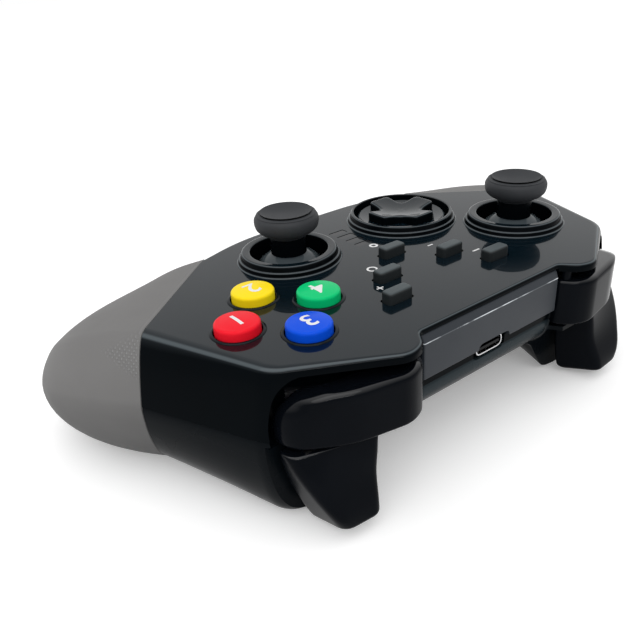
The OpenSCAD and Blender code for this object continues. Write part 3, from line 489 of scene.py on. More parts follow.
# grips, with raised dots and painted shade: lighter on top, darker towards the bottom
gripGrey = finish("grip_grey", {"dark": (0.05, 0.05, 0.05), "light": (0.165, 0.162, 0.16), "paintedShadeBy": "Slope",
                  "grain": 3200.0, "rough": (0.62, 0.74), "bump": 0.25, "specular": 0.25})
raisedLook = {"share": 0.5, "colour": (0.26, 0.26, 0.26), "strength": 0.7, "height": 0.00025}
gripTree = gripGrey.node_tree
gripDots = useGroup(gripTree, dotGroup).outputs["Dots"]
overlay(gripGrey, calc(gripTree, "MULTIPLY", gripDots, raisedLook["share"]), raisedLook["colour"])
dotBump = gripTree.nodes.new("ShaderNodeBump")
dotBump.inputs["Strength"].default_value = raisedLook["strength"]
dotBump.inputs["Distance"].default_value = raisedLook["height"]
gripTree.links.new(gripDots, dotBump.inputs["Height"])
gripNormal = gripTree.nodes["Principled BSDF"].inputs["Normal"]
gripTree.links.new(gripNormal.links[0].from_socket, dotBump.inputs["Normal"])
gripTree.links.new(dotBump.outputs["Normal"], gripNormal)

capRubber = finish("cap_rubber", {"dark": (0.016, 0.018, 0.021), "light": (0.028, 0.03, 0.034),
                   "grain": 2600.0, "rough": (0.58, 0.72), "bump": 0.3, "specular": 0.35})
# painted shade: the small buttons are lighter on top and darker on their sides
slateRubber = finish("slate_rubber", {"dark": (0.009, 0.011, 0.012), "light": (0.06, 0.073, 0.078),
                     "paintedShadeBy": "Mask", "grain": 2400.0, "rough": (0.42, 0.55), "bump": 0.2, "specular": 0.2})
darkPlastic = finish("dark_plastic", {"dark": (0.01, 0.011, 0.012), "light": (0.018, 0.019, 0.02),
                     "grain": 1500.0, "rough": (0.4, 0.55), "bump": 0.15, "specular": 0.4})
steel = finish("steel", {"dark": (0.5, 0.5, 0.51), "light": (0.62, 0.62, 0.63), "grain": 1500.0,
               "rough": (0.22, 0.34), "bump": 0.06, "metal": 1})

# charging socket, with painted shade darkening inside its mouth
socketSteel = finish("socket_steel", {"dark": (0.55, 0.55, 0.56), "light": (0.68, 0.68, 0.69), "grain": 1500.0,
                     "rough": (0.2, 0.3), "bump": 0.04, "metal": 1})
mouthShadeLook = {"tall": (0.0009, 0.0011), "wide": (0.0036, 0.0039), "colour": (0.004, 0.004, 0.005)}
socketTree = socketSteel.node_tree
socketParts = coordParts(socketTree, "Object")
socketDrop = calc(socketTree, "SUBTRACT", socketParts[2], (faceHeight - socketDepth) / 1000)
mouthTall = mapRange(socketTree, calc(socketTree, "ABSOLUTE", socketDrop), mouthShadeLook["tall"], (1, 0))
mouthWide = mapRange(socketTree, calc(socketTree, "ABSOLUTE", socketParts[0]), mouthShadeLook["wide"], (1, 0))
# painted shade inside the socket's mouth
overlay(socketSteel, calc(socketTree, "MULTIPLY", mouthTall, mouthWide), mouthShadeLook["colour"])

boardGreen = finish("board_green", {"dark": (0.01, 0.09, 0.04), "light": (0.02, 0.14, 0.06),
                    "grain": 1200.0, "rough": (0.35, 0.5), "bump": 0.15})
batteryGrey = finish("battery_grey", {"dark": (0.3, 0.31, 0.33), "light": (0.38, 0.39, 0.41),
                     "grain": 900.0, "rough": (0.35, 0.5), "bump": 0.1})
lampClear = finish("lamp_clear", {"dark": (0.01, 0.011, 0.013), "light": (0.02, 0.022, 0.025),
                   "grain": 900.0, "rough": (0.1, 0.16), "bump": 0.02, "specular": 0.05, "coat": (0.01, 0.4)})
markWhite = finish("mark_white", {"dark": (0.72, 0.72, 0.72), "light": (0.82, 0.82, 0.82),
                   "grain": 2500.0, "rough": (0.45, 0.6), "bump": 0.05})
buttonGloss = {"grain": 900.0, "rough": (0.3, 0.4), "bump": 0.03, "specular": 0.06, "coat": (0.01, 0.1),
               "coatRough": 0.1}
buttonColours = {"east": ("button_red", (0.82, 0.008, 0.02), (0.9, 0.012, 0.028)),
                 "south": ("button_yellow", (0.95, 0.68, 0.006), (0.99, 0.76, 0.01)),
                 "north": ("button_blue", (0.002, 0.07, 0.66), (0.003, 0.09, 0.76)),
                 "west": ("button_green", (0.001, 0.52, 0.16), (0.002, 0.6, 0.2))}
buttonFinish = {label: finish(name, {"dark": dark, "light": light, **buttonGloss})
                for label, (name, dark, light) in buttonColours.items()}
print("stage: finishes")

# outline of the body, right half, as place, swell to the seam and rounding
bodyLook = {"swell": 7.8, "innerSwell": 1.0, "edge": 1.0, "seam": 15.0, "pan": 25.0, "lobe": 37.7,
            "ridge": 36.8, "swellPower": 0.55, "ridgePower": 2 / 2.2, "seamTuck": 0.3}
swell, innerSwell, edgeRound = (bodyLook[key] for key in ("swell", "innerSwell", "edge"))
seamDepth, panDepth, lobeDepth, ridgeDepth = (bodyLook[key] for key in ("seam", "pan", "lobe", "ridge"))
jointDir = np.array([math.cos(jointTurn), math.sin(jointTurn)])
jointIn = np.array([35.8, -29.0])
jointLength = 38.7
jointOut = jointIn + jointLength * jointDir
ridgeStart, ridgeEnd = 0.388, 0.775  # shares of the joint's length
rearCorner = (22.3, -33.8)
halfOutline = [
    ((23.2, 37.6), (0, -1), 1), ((26.0, 41.2), (0, 0), 1.7), ((30.4, 42.8), (0.4, 0.2), 2.7),
    ((53.3, 28.6), (4.2, 1.6), 3), (jointOut, swell * jointDir, 0), (jointIn, -innerSwell * jointDir, 0),
    (rearCorner, (0, -0.7), 9)]
# ridge under each corner, as place, depth and the place where the slope meets the pan
ridges = [
    ((20.8, 21.6), panDepth, (19, 16)), ((27.0, 28.0), panDepth + 2, (22, 17)),
    ((33.5, 30.3), lobeDepth, (29, 12)), ((50.5, 27.0), lobeDepth, (36, 8)),
    (jointIn + ridgeEnd * jointLength * jointDir, ridgeDepth, (33, -8)),
    (jointIn + ridgeStart * jointLength * jointDir, ridgeDepth, (30, -17)),
    ((20.3, -27.8), panDepth, (17, -22))]
roundings = [c[2] for c in halfOutline] + [c[2] for c in reversed(halfOutline)]
jointEdges = (4, 8)  # edges that meet the grips
ridgeTurns = list(range(6, 91, 6))  # degrees from the seam to the ridge


def bothSides(places):
    right = [np.array(p, float) for p in places]
    left = [np.array([-p[0], p[1]]) for p in reversed(right)]
    return np.array(right + left)


def bodyRing(places, depths, inset):
    corners = bothSides(places)
    if inset > 0:
        corners = insetCorners(corners, [0 if i in jointEdges else inset for i in range(len(corners))])
    allDepths = list(depths) + list(reversed(depths))
    return closedRing([((*c, -d), r) for c, d, r in zip(corners, allDepths, roundings)], 8, 5)


def edgeInset(depth, radius):
    if depth >= radius:
        return 0.0
    return radius - math.sqrt(radius ** 2 - (radius - depth) ** 2)


def swellShare(depth):
    return (depth / seamDepth) ** bodyLook["swellPower"]


def topRing(depth, extra=0.0):
    places = [np.array(c[0]) + np.array(c[1]) * swellShare(depth) for c in halfOutline]
    return bodyRing(places, [depth] * len(places), edgeInset(depth, edgeRound) + extra)


def arcIn(a):
    return 1 - max(math.cos(math.radians(a)), 0) ** bodyLook["ridgePower"]


def arcDown(a):
    return math.sin(math.radians(a)) ** bodyLook["ridgePower"]


def ridgeRing(a, extra=0.0):
    places, depths = [], []
    for corner, ridge in zip(halfOutline, ridges):
        seam = np.array(corner[0]) + np.array(corner[1])
        places.append(seam + (np.array(ridge[0]) - seam) * arcIn(a))
        depths.append(seamDepth + (ridge[1] - seamDepth) * arcDown(a))
    return bodyRing(places, depths, extra)


def slopeRing(t):
    places = [np.array(r[0]) + (np.array(r[2]) - np.array(r[0])) * t for r in ridges]
    return bodyRing(places, [r[1] + (panDepth - r[1]) * t for r in ridges], 0)


# spaces inside the shells
wall = 2.2
bayWall = 29.3  # rear of the trigger bays
bayIn, baySide, bayEnd = 23.0, 66.3, 62.8  # the bays run out past the shells
bayLook = {"top": 1.9, "bottom": 17.0, "cornerEnds": (20.0, 64.0)}
bumperKnee = np.array([44.0, 33.0])
bayBack = [np.array([bayIn, 34.8]), bumperKnee - np.array([0.8, 2]), np.array([53.0, 24.6])]
bayOut = [np.array(p) for p in ((56.2, 26.2), (56.8, 30.2), (baySide, 33.6), (baySide, bayEnd))]
plateLook = {"half": 22.8, "back": 36.0, "bayHalf": 23.2, "bayTop": 1.1, "bayBottom": 12.3, "bayFront": 48}
plateBack = plateLook["back"]
innerHalf = [(plateLook["half"], plateBack), bayBack[0] - np.array([0.2, 0.4]), bayBack[1], bayBack[2],
             jointOut, jointIn, rearCorner]
socketLook = {"half": (5.37, 2.53), "rounding": 1.63, "ends": (50.0, 22.0)}


def inside(top, bottom, edge):
    corners = bothSides(innerHalf)
    return prism("inside", insetCorners(corners, [edge] * len(corners)), -top, -bottom)


def twoSided(points, top, bottom):
    return [prism("side", points, -top, -bottom), prism("side", [(-p[0], p[1]) for p in points], -top, -bottom)]


def bumperBay():
    spaces = twoSided(bayBack + bayOut + [np.array([bayIn, bayEnd])], bayLook["top"], bayLook["bottom"])
    corner = roundLine([(49.5, -1.8), (51.5, -2.4, 0.9), (53.6, -3.9, 1.2), (55.0, -6.0, 1.2),
                        (56.0, -9.0, 1.5), (56.7, -12.5, 1.4), (56.8, -18.0), (70.0, -18.0), (70.0, -1.8)], 5)
    for space, sign in zip(spaces, (1, -1)):
        ends = [np.array([(sign * p[0], y, p[1]) for p in corner]) for y in bayLook["cornerEnds"]]
        cut(space, [loft("corner", ends, True)])
    return spaces


def plateBay():
    half, front = plateLook["bayHalf"], plateLook["bayFront"]
    outline = [(-half, plateBack), (-half, front), (half, front), (half, plateBack)]
    return prism("plateBay", outline, -plateLook["bayTop"], -plateLook["bayBottom"])


def socketOpening():
    wide, tall = socketLook["half"]
    ring = closedRing([((c[0] * wide, c[1] * tall), socketLook["rounding"]) for c in squareCorners], 8, 0)
    ends = [np.array([(p[0], y, p[1] - socketDepth) for p in ring]) for y in socketLook["ends"]]
    return loft("socketOpening", ends, True)


cluster = np.array([39.6, clusterY])
buttonReach = 10.7
buttonPlaces = {"east": cluster + (buttonReach, 0), "south": cluster + (0, -buttonReach),
                "north": cluster + (0, buttonReach), "west": cluster + (-buttonReach, 0)}
smallPlaces = {"plus": (16.5, 23.6), "minus": (-16.5, 23.6), "home": (10.6, 14.1), "turbo": (-10.6, 14.1),
               "capture": (0, 4.3)}
stickPlaces = {"right": (19.8, -12.9), "left": (-39.6, 11.2)}
padPlace = (-19.8, -12.9)
lampPlaces = [(0, -6.6 - 3.6 * i) for i in range(4)]
screwPlaces = [(24.0, 26.0), (55.5, -1.0), (31.0, -26.6)]

# upper shell
holeLook = {"stick": 10.0, "pad": 13.6, "button": 5.3, "slot": (7.6, 3.9, 1.1), "lamp": (5.0, 2.2, 0.4),
            "ends": (1, -3.2), "hollow": 16}
sideSteps = [0, 0.03, 0.1, 0.22, 0.38, 0.6, 0.85, 1.2, 1.8, 2.6, 3.8, 5.2, 7, 9, 11.2, 13.2]
topRings = [topRing(d) for d in sideSteps + [14.7]] + [topRing(seamDepth, bodyLook["seamTuck"])]
topShell = loft("top_shell_skin", topRings, True)
holes = [circleRing(holeLook["stick"], place, 96) for place in stickPlaces.values()]
holes.append(circleRing(holeLook["pad"], padPlace, 96))
holes += [circleRing(holeLook["button"], place) for place in buttonPlaces.values()]
holes += [barRing(*holeLook["slot"], place) for place in smallPlaces.values()]
holes += [barRing(*holeLook["lamp"], place) for place in lampPlaces]
cutters = [inside(wall, holeLook["hollow"], wall), plateBay(), socketOpening()] + bumperBay()
cut(topShell, cutters + [prism("hole", outline, *holeLook["ends"]) for outline in holes])
settle(topShell, "body", glossBlack, "top_shell")
print("stage: upper shell", len(topShell.data.polygons))

# rims round the sticks, the pad and the buttons
rimLook = {"lip": 2.8, "step": 1.3, "under": -2.2, "stick": (12.6, 13.2, 13.7), "pad": (14.7, 15.3, 15.8)}
ringLook = {"rise": 0.28, "crest": 5.75, "foot": 6.15, "under": -0.8}


def rim(name, place, hole, lip, flange, foot):
    top, step, under = rimLook["lip"], rimLook["step"], rimLook["under"]
    line = roundLine([(hole, under), (hole, top - 0.1, 0.5), (lip - 0.3, top, 0.8), (lip, step, 0.3),
                      (flange - 0.1, step - 0.15, 0.25), (flange, 0.3, 0.25), (foot, 0.0, 0.2),
                      (foot, -0.6)], 6)
    line.append(np.array([hole + 0.4, under]))
    settle(lathe(name, line, place, 128, True), "body", glossBlack)


for side, place in stickPlaces.items():
    rim(side + "_stick_rim", place, holeLook["stick"], *rimLook["stick"])
rim("pad_rim", padPlace, holeLook["pad"], *rimLook["pad"])
for label, place in buttonPlaces.items():
    hole, rise, under = holeLook["button"], ringLook["rise"], ringLook["under"]
    ringLine = roundLine([(hole, under), (hole, rise, 0.15), (ringLook["crest"], rise, 0.25),
                          (ringLook["foot"], 0, 0.2), (ringLook["foot"] + 0.05, under)], 4)
    settle(lathe(label + "_button_ring", ringLine, place, 72, True), "body", ringBlack)
print("stage: rims")

# lower shell with its rest pads
lowerLook = {"upperSpace": (14, 16.8), "lowerSpace": (15.8, 22.8), "ledge": 4.5, "pocket": (16.7, 30.0),
             "trigger": (16.0, 39.5), "triggerIn": 34.4, "besideOut": 37.0,
             "shelf": ((bayWall, 18.2), (39.4, 16.0))}
pocketStart = np.array([43.5, 23.0])
bayDeep = lowerLook["trigger"][1]  # past the lowest lobe
screwLook = {"radius": 2.4, "top": 21.6, "bottom": 38.5}
restLook = {"radius": 3.2, "top": -34.0, "rounding": 0.5, "place": (45.5, 25.2)}
bottomRings = [ridgeRing(0, bodyLook["seamTuck"]), ridgeRing(1.5)] + [ridgeRing(a) for a in ridgeTurns]
bottomRings += [slopeRing(t) for t in (0.12, 0.3, 0.5, 0.7, 0.88, 1)]
bottomShell = loft("bottom_shell_skin", bottomRings, True)
pocket = [pocketStart + np.array(p) for p in ((-3.5, 1), (6.5, 1), (15.5, -24), (9.5, -31), (2.5, -19))]
triggerIn, besideOut = lowerLook["triggerIn"], lowerLook["besideOut"]
triggerBay = [(triggerIn, bayWall), (triggerIn, bayEnd), (baySide, bayEnd), (baySide, bayWall)]
cutters = [inside(*lowerLook["upperSpace"], wall), inside(*lowerLook["lowerSpace"], wall + lowerLook["ledge"]),
           plateBay(), socketOpening()]
cutters += twoSided(pocket, *lowerLook["pocket"]) + bumperBay() + twoSided(triggerBay, *lowerLook["trigger"])
for y, top in lowerLook["shelf"]:  # open space beside the triggers, under a shelf
    cutters += twoSided([(bayIn, y), (bayIn, bayEnd), (besideOut, bayEnd), (besideOut, y)], top, bayDeep)
for place in screwPlaces:
    cutters += twoSided(circleRing(screwLook["radius"], place, 32), screwLook["top"], screwLook["bottom"])
cut(bottomShell, cutters)
settle(bottomShell, "body", lowerBlack, "bottom_shell")
restLine = roundLine([(0, restLook["top"]), (restLook["radius"], restLook["top"]),
                      (restLook["radius"], -faceHeight, restLook["rounding"]), (0, -faceHeight)], 5)
for side, sign in (("right", 1), ("left", -1)):
    restPad = lathe(side + "_rest_pad", restLine, (sign * restLook["place"][0], restLook["place"][1]), 48)
    settle(restPad, "body", darkPlastic)
print("stage: lower shell", len(bottomShell.data.polygons))

# grips, each lofted from the body's section at the joint to a bent, rounded end
gripLook = {"length": 39.0, "bend": 20.4, "drop": 6.8, "bends": 12, "taper": (2.4, 0.62),
            "soft": 0.89, "softEnd": 0.84, "softPower": 1.3, "lowered": 0.04, "loweredStart": 0.08,
            "jointSize": 0.985, "hollowSpare": 0.02, "hollowTaper": 1.08, "hollowLead": 1.0, "angle": 50}
gripWidth = jointLength + swell + innerSwell
gripMid = np.array([(jointLength + swell - innerSwell) / 2, -ridgeDepth / 2])
innerEdge, outerEdge = [], []
for depth in sideSteps + [15]:
    share, tuck = swellShare(depth), edgeInset(depth, edgeRound)
    innerEdge.append((-innerSwell * share + tuck, -depth))
    outerEdge.append((jointLength + swell * share - tuck, -depth))
for a in ridgeTurns:
    down = -seamDepth - (ridgeDepth - seamDepth) * arcDown(a)
    innerEdge.append((-innerSwell + (ridgeStart * jointLength + innerSwell) * arcIn(a), down))
    outerEdge.append((jointLength + swell + (ridgeEnd * jointLength - jointLength - swell) * arcIn(a), down))


def onLine(start, end, shares):
    return [tuple(np.array(start) * (1 - t) + np.array(end) * t) for t in shares]


floorLine = onLine(innerEdge[-1], outerEdge[-1], (0.25, 0.5, 0.75))
roofLine = onLine(outerEdge[0], innerEdge[0], np.linspace(0, 1, 14)[1:-1])
section = np.array(innerEdge + floorLine + outerEdge[::-1] + roofLine)


def gripSize(t):
    start, end = gripLook["taper"]
    return (1 - t ** start) ** end


def gripPath(t):
    if t <= 0:
        return np.zeros(2)
    bends = gripLook["bends"]
    angles = np.radians(-90 - gripLook["bend"] * (np.arange(bends) + 0.5) * t / bends)
    return gripLook["length"] * t / bends * np.array([np.cos(angles).sum(), np.sin(angles).sum()])


def gripOval(p, share):  # blends the section towards an oval
    d = p - gripMid
    a, b = gripWidth / 2, ridgeDepth / 2
    f = math.atan2(d[1] / b, d[0] / a)
    return (1 - share) * d + share * np.array([a * math.cos(f), b * math.sin(f)])


def gripRing(t, size, lead=0.0):
    a = math.radians(-gripLook["bend"] * t)
    path = gripPath(t)
    soft = gripLook["soft"] * min(t / gripLook["softEnd"], 1) ** gripLook["softPower"]
    lowered = 1 - gripLook["lowered"] * (1 - math.exp(-t / gripLook["loweredStart"]))  # upper half only
    ring = []
    for p in section:
        q = gripOval(p, soft) * size
        x = gripMid[0] + path[0] + q[0] * math.cos(a)
        y = path[1] + q[0] * math.sin(a) + lead
        z = gripMid[1] - gripLook["drop"] * t * t + q[1] * (lowered if q[1] > 0 else 1)
        ring.append((jointIn[0] + x * jointDir[0] - y * jointDir[1],
                     jointIn[1] + x * jointDir[1] + y * jointDir[0], z))
    return np.array(ring)


gripSteps = [0.006] + list(np.linspace(0.03, 0.84, 24))
gripSteps += [0.87, 0.9, 0.925, 0.945, 0.962, 0.975, 0.985, 0.992, 0.997]
gripRings = [gripRing(0, gripLook["jointSize"])] + [gripRing(t, gripSize(t)) for t in gripSteps]
rightGrip = loft("right_grip_skin", gripRings)
hollowSize = 1 - 2 * wall / gripWidth - gripLook["hollowSpare"]
hollowRings = [gripRing(0, hollowSize, gripLook["hollowLead"])]
for t in np.linspace(0.06, 0.8, 12):
    hollowRings.append(gripRing(t, gripSize(t * gripLook["hollowTaper"]) * hollowSize))
cut(rightGrip, [loft("hollow", hollowRings)])
settlePair(rightGrip, "grip", ("body", "body"), gripGrey, gripLook["angle"])
print("stage: grips", len(rightGrip.data.polygons))

# front plate, its ends drawn in
plateLine = roundLine([(plateBack, -1.35), (37.3, -1.35, 0.5), (38.1, -3.2, 0.25), (38.1, -12.0, 0.3),
                       (plateBack, -12.05), (plateBack, -1.35)], 6)
plateEnds = [(22.8, 0.75), (22.6, 0.93), (22.3, 1), (10, 1)]  # place and share of the thickness
plateSteps = [(-x, k) for x, k in plateEnds] + plateEnds[::-1]
plateRings = [np.array([(x, plateBack + (p[0] - plateBack) * k, p[1]) for p in plateLine[:-1]])
              for x, k in plateSteps]
frontPlate = loft("front_plate_skin", plateRings, True)
cut(frontPlate, [socketOpening()])
settle(frontPlate, "body", plateGrey, "front_plate")
print("stage: front plate")

# bumpers
bumperLook = {"top": 4.4, "deep": 12.0, "upper": 1.5, "lower": 0.7, "lean": 0.4, "round": (2.0, 4.0),
              "front": (45.0, 40.0, 0.663), "rear": (44.4, 33.0, 0.519),  # a point and the fall outwards
              "hinge": 1.3, "hingePlace": (26.2, 37.8), "hingeEnds": (-3, -18)}
bumperPlaces = [(23.6, 35.5), (23.6, 37.9), (26.0, 41.2), (30.4, 43.0), (44.0, 40.3)]
bumperSlope = np.array(roundLine([(0, 47.8), (0.1, 48.2, 0.1), (1.4, 51.0, 1.3), (4.4, 54.0, 1.8),
                                  (8.4, 55.2, 1.8), (11.0, 55.1, 0.6), (12.0, 54.8)], 8))  # depth and outer end


def fallLine(line, x):
    return line[1] - line[2] * (x - line[0])


def bumperRing(depth):
    end = np.interp(depth, bumperSlope[:, 0], bumperSlope[:, 1])
    front = (end, fallLine(bumperLook["front"], end))
    rear = (end - bumperLook["lean"], fallLine(bumperLook["rear"], end))
    places = np.array(bumperPlaces + [front, rear, tuple(bumperKnee)])
    topRound, roundDepth = bumperLook["round"]
    outerRound = topRound + min(depth, roundDepth)
    upper = edgeInset(depth, bumperLook["upper"])
    inset = max(upper, edgeInset(bumperLook["deep"] - depth, bumperLook["lower"]))
    if inset > 0:
        places = insetCorners(places, [inset] * len(places))
    ring = closedRing(list(zip(places, [1, 0.8, 1.7, 2.4, 4, outerRound, 1.6, 2])), 10, 2)
    return atHeight(ring, -bumperLook["top"] - depth)


bumperDepths = [0, 0.03, 0.1, 0.22, 0.4, 0.62, 0.9, 1.2, 1.5] + list(np.linspace(1.9, 10.8, 19))
bumperDepths += [11.1, 11.4, 11.62, 11.8, 11.92, 11.98, 12.0]
rightBumper = loft("right_bumper_skin", [bumperRing(depth) for depth in bumperDepths])
hingeRing = circleRing(bumperLook["hinge"], bumperLook["hingePlace"], 32)
cut(rightBumper, [prism("hinge", hingeRing, *bumperLook["hingeEnds"])])
settlePair(rightBumper, "bumper", ("right_bumper_body", "left_bumper_body"), shoulderBlack)
print("stage: bumpers")

# triggers: share of the height, inner and outer front, outer side in front and behind, back, inner side
triggerRows = np.array([
    [0, -3, -8.5, 0, 0.2, 1.2, -0.3], [0.22, -2.8, -6, -1, -0.4, 1.2, 0.2],
    [0.5, -2.5, -3.2, -2.9, -1.8, 1.4, 1], [0.82, -0.7, -0.8, -5.6, -3.9, 2.4, 2.2],
    [1, 0, -0.8, -7.2, -5.4, 3.4, 2.7]])
triggerLook = {"in": 37.0, "width": 18.4, "height": 18.4, "top": 17.2, "front": 43.0, "round": 1.5, "edge": 0.5,
               "sag": 1.2, "flare": 2, "corners": (1.2, 1.7, 2.4, 1.4),
               "pocket": ((39.0, 24.3, -26.0), (51.9, 35.2, -12.0)), "pin": (1.25, (36.0, 33.0, -19.5), 18.4)}


def smoothRow(share):
    stops = triggerRows[:, 0]
    k = min(max(int(np.searchsorted(stops, share)) - 1, 0), len(stops) - 2)
    slopes = np.gradient(triggerRows, stops, axis=0)
    span = stops[k + 1] - stops[k]
    t = (share - stops[k]) / span
    a, b = triggerRows[k], triggerRows[k + 1]
    return ((2 * t ** 3 - 3 * t ** 2 + 1) * a + (t ** 3 - 2 * t ** 2 + t) * span * slopes[k]
            + (-2 * t ** 3 + 3 * t ** 2) * b + (t ** 3 - t ** 2) * span * slopes[k + 1])


def triggerRing(down):
    height, front = triggerLook["height"], triggerLook["front"]
    row = smoothRow(down / height)
    x, w = triggerLook["in"], triggerLook["width"]
    corners = np.array([(x - triggerLook["flare"], bayWall + row[5]), (x + row[6], front + row[1]),
                        (x + w + row[3], front + row[2]), (x + w + row[4], bayWall + row[5])])
    inset = max(edgeInset(height - down, triggerLook["round"]), edgeInset(down, triggerLook["edge"]))
    if inset > 0:
        corners = insetCorners(corners, [inset] * 4)
    high = -triggerLook["top"] - down
    low = -triggerLook["top"] - down * (1 + triggerLook["sag"] / height)
    rounded = zip(corners, (low, high, high, low), triggerLook["corners"])
    return closedRing([((*c, h), r) for c, h, r in rounded], 8, 6)


triggerDowns = [0, 0.05, 0.15, 0.3, 0.5] + list(np.linspace(1.2, 16.9, 22))
triggerDowns += [17.2, 17.55, 17.85, 18.1, 18.28, 18.37, 18.4]
rightTrigger = loft("right_trigger_skin", [triggerRing(down) for down in triggerDowns], True)
cut(rightTrigger, [boxMesh("pocket", *triggerLook["pocket"]), rodAlongX("pin", *triggerLook["pin"])])
settlePair(rightTrigger, "trigger", ("right_trigger_body", "left_trigger_body"), shoulderBlack)
print("stage: triggers")

# face buttons with numerals
buttonLook = {"rise": 2.7, "dome": 0.3, "crown": 4.1, "radius": 5.0, "shoulder": 2.36, "edge": 0.75,
              "flange": 5.9, "stem": 4.0, "under": -8.3}
turnedAngle = 40  # sharpest smooth edge on turned pieces
flangeTop, flangeBottom = -2.5, -3.6  # under the shell, for all buttons
numerals = {"east": "1", "south": "2", "north": "3", "west": "4"}
numeralLook = {"size": 6.6, "bold": 0.00008, "lift": 0.02}


def domeHeight(r):
    return buttonLook["rise"] - buttonLook["dome"] * (r / buttonLook["crown"]) ** 2


def addNumeral(name, text, place):
    curve = bpy.data.curves.new(name, "FONT")
    curve.body = text
    curve.size = numeralLook["size"] / 1000
    curve.align_x = "CENTER"
    curve.align_y = "CENTER"
    curve.offset = numeralLook["bold"]
    word = addObject(name, curve)
    graph = bpy.context.evaluated_depsgraph_get()
    mesh = bpy.data.meshes.new_from_object(word.evaluated_get(graph), depsgraph=graph)
    bpy.data.objects.remove(word)
    work = bmesh.new()
    work.from_mesh(mesh)
    bmesh.ops.triangulate(work, faces=work.faces)
    bmesh.ops.subdivide_edges(work, edges=work.edges, cuts=2, use_grid_fill=True)
    xs = [v.co.x for v in work.verts]
    ys = [v.co.y for v in work.verts]
    middle = Vector(((min(xs) + max(xs)) / 2, (min(ys) + max(ys)) / 2, 0))
    for v in work.verts:  # laid on the button's dome
        v.co -= middle
        height = (domeHeight(v.co.length * 1000) + numeralLook["lift"]) / 1000
        x, y = v.co.x + place[0] / 1000, v.co.y + (place[1] + midShift) / 1000
        v.co = Vector((x, y, height + faceHeight / 1000))
    work.to_mesh(mesh)
    work.free()
    return addObject(name, mesh)


crown, radius, flange, stem, under = (buttonLook[key] for key in ("crown", "radius", "flange", "stem", "under"))
crownLine = [(r, domeHeight(r)) for r in np.linspace(0, crown, 12)]
edgeLine = roundLine([(crown, domeHeight(crown)), (radius, buttonLook["shoulder"], buttonLook["edge"]),
                      (radius, flangeTop), (flange, flangeTop), (flange, flangeBottom), (stem, flangeBottom),
                      (stem, under), (0, under)], 8)
for label, place in buttonPlaces.items():
    button = lathe(label + "_button_cap", crownLine + [tuple(p) for p in edgeLine[1:]], place, 72)
    settle(button, label + "_button_body", buttonFinish[label], label + "_button",
           turnedAngle)
    numeral = addNumeral(label + "_button_mark", numerals[label], place)
    settle(numeral, label + "_button_body", markWhite)
print("stage: face buttons")

# small rubber buttons
barLook = {"width": 7.0, "depth": 3.3, "top": 2.6, "edge": 0.65, "rounding": 1.0,
           "flange": (8.4, 4.7, 0.8), "foot": (5.0, 2.3, 0.5), "under": -8.6}
for label, place in smallPlaces.items():
    rings = []
    for a in np.radians([90, 75, 60, 45, 30, 15, 0]):
        inset = barLook["edge"] * (1 - math.cos(a))
        width, depth = barLook["width"] - 2 * inset, barLook["depth"] - 2 * inset
        ring = barRing(width, depth, barLook["rounding"] - inset, place)
        rings.append(atHeight(ring, barLook["top"] - barLook["edge"] * (1 - math.sin(a))))
    rings.append(atHeight(rings[-1][:, :2], flangeTop))
    button = loft(label + "_button_bar", rings)
    join(button, [prism("flange", barRing(*barLook["flange"], place), flangeTop, flangeBottom),
                  prism("foot", barRing(*barLook["foot"], place), flangeBottom, barLook["under"])])
    settle(button, label + "_button_body", slateRubber, label + "_button")
print("stage: small buttons")

# thumb sticks
stickLook = {"dome": 11.2, "thick": 1, "pivot": 8.4, "neck": 4.2, "skirt": 70}
capLine = roundLine([(0, 11.4), (4.4, 11.55, 2.5), (6.2, 12.6, 1.4), (7.9, 12.0, 1.2), (8.4, 9.8, 1.4),
                     (7.4, 7.9, 1.2), (5.4, 7.0, 1.0), (4.8, 6.4, 0.3), (4.65, 6.4), (4.65, 8.0), (0, 8.0)], 8)
stemLine = roundLine([(0, 8.0), (4.6, 8.0), (4.6, -3.2), (1.5, -3.2), (1.5, -10.2), (0, -10.2)])


def domeArc(radius, start, end, count=20):
    turns = np.radians(np.linspace(start, end, count))
    return [(radius * math.sin(a), radius * math.cos(a) - stickLook["pivot"]) for a in turns]


neckTurn = math.degrees(math.asin(stickLook["neck"] / stickLook["dome"]))
domeLine = domeArc(stickLook["dome"], neckTurn, stickLook["skirt"])
domeLine += domeArc(stickLook["dome"] - stickLook["thick"], stickLook["skirt"], neckTurn)
for side, place in stickPlaces.items():
    cap = lathe(side + "_stick_cap_skin", capLine, place, 96)
    settle(cap, side + "_stick_body", capRubber, side + "_stick_cap", turnedAngle)
    post = lathe(side + "_stick_post_skin", domeLine, place, 96, True)
    join(post, [lathe("stem", stemLine, place, 64)])
    settle(post, side + "_stick_body", glossBlack, side + "_stick_post", turnedAngle)
print("stage: sticks")

# direction pad, a hollowed cross on a dish
crossLook = {"half": 9.75, "arm": 3.7, "tip": 3.9, "middle": 2.4, "hollow": 1.7, "edge": 0.9,
             "outerRound": 1.5, "innerRound": 2.6, "sides": (3.4, 2.0)}
dishLine = roundLine([(0, 0.5), (4, 0.6, 2), (10.4, 1.3, 1.5), (12.0, 1.6, 0.5), (12.6, 1.0, 0.5), (12.6, -3.9),
                      (14.2, -3.9), (14.2, -4.7), (0, -4.7)], 6)
half, arm = crossLook["half"], crossLook["arm"]
crossPlaces = np.array([(-arm, half), (arm, half), (arm, arm), (half, arm), (half, -arm), (arm, -arm),
                        (arm, -half), (-arm, -half), (-arm, -arm), (-half, -arm), (-half, arm), (-arm, arm)])


def bowlHeight(reach):
    rise = crossLook["tip"] - crossLook["middle"]
    return crossLook["middle"] + rise * (reach / crossLook["half"]) ** crossLook["hollow"]


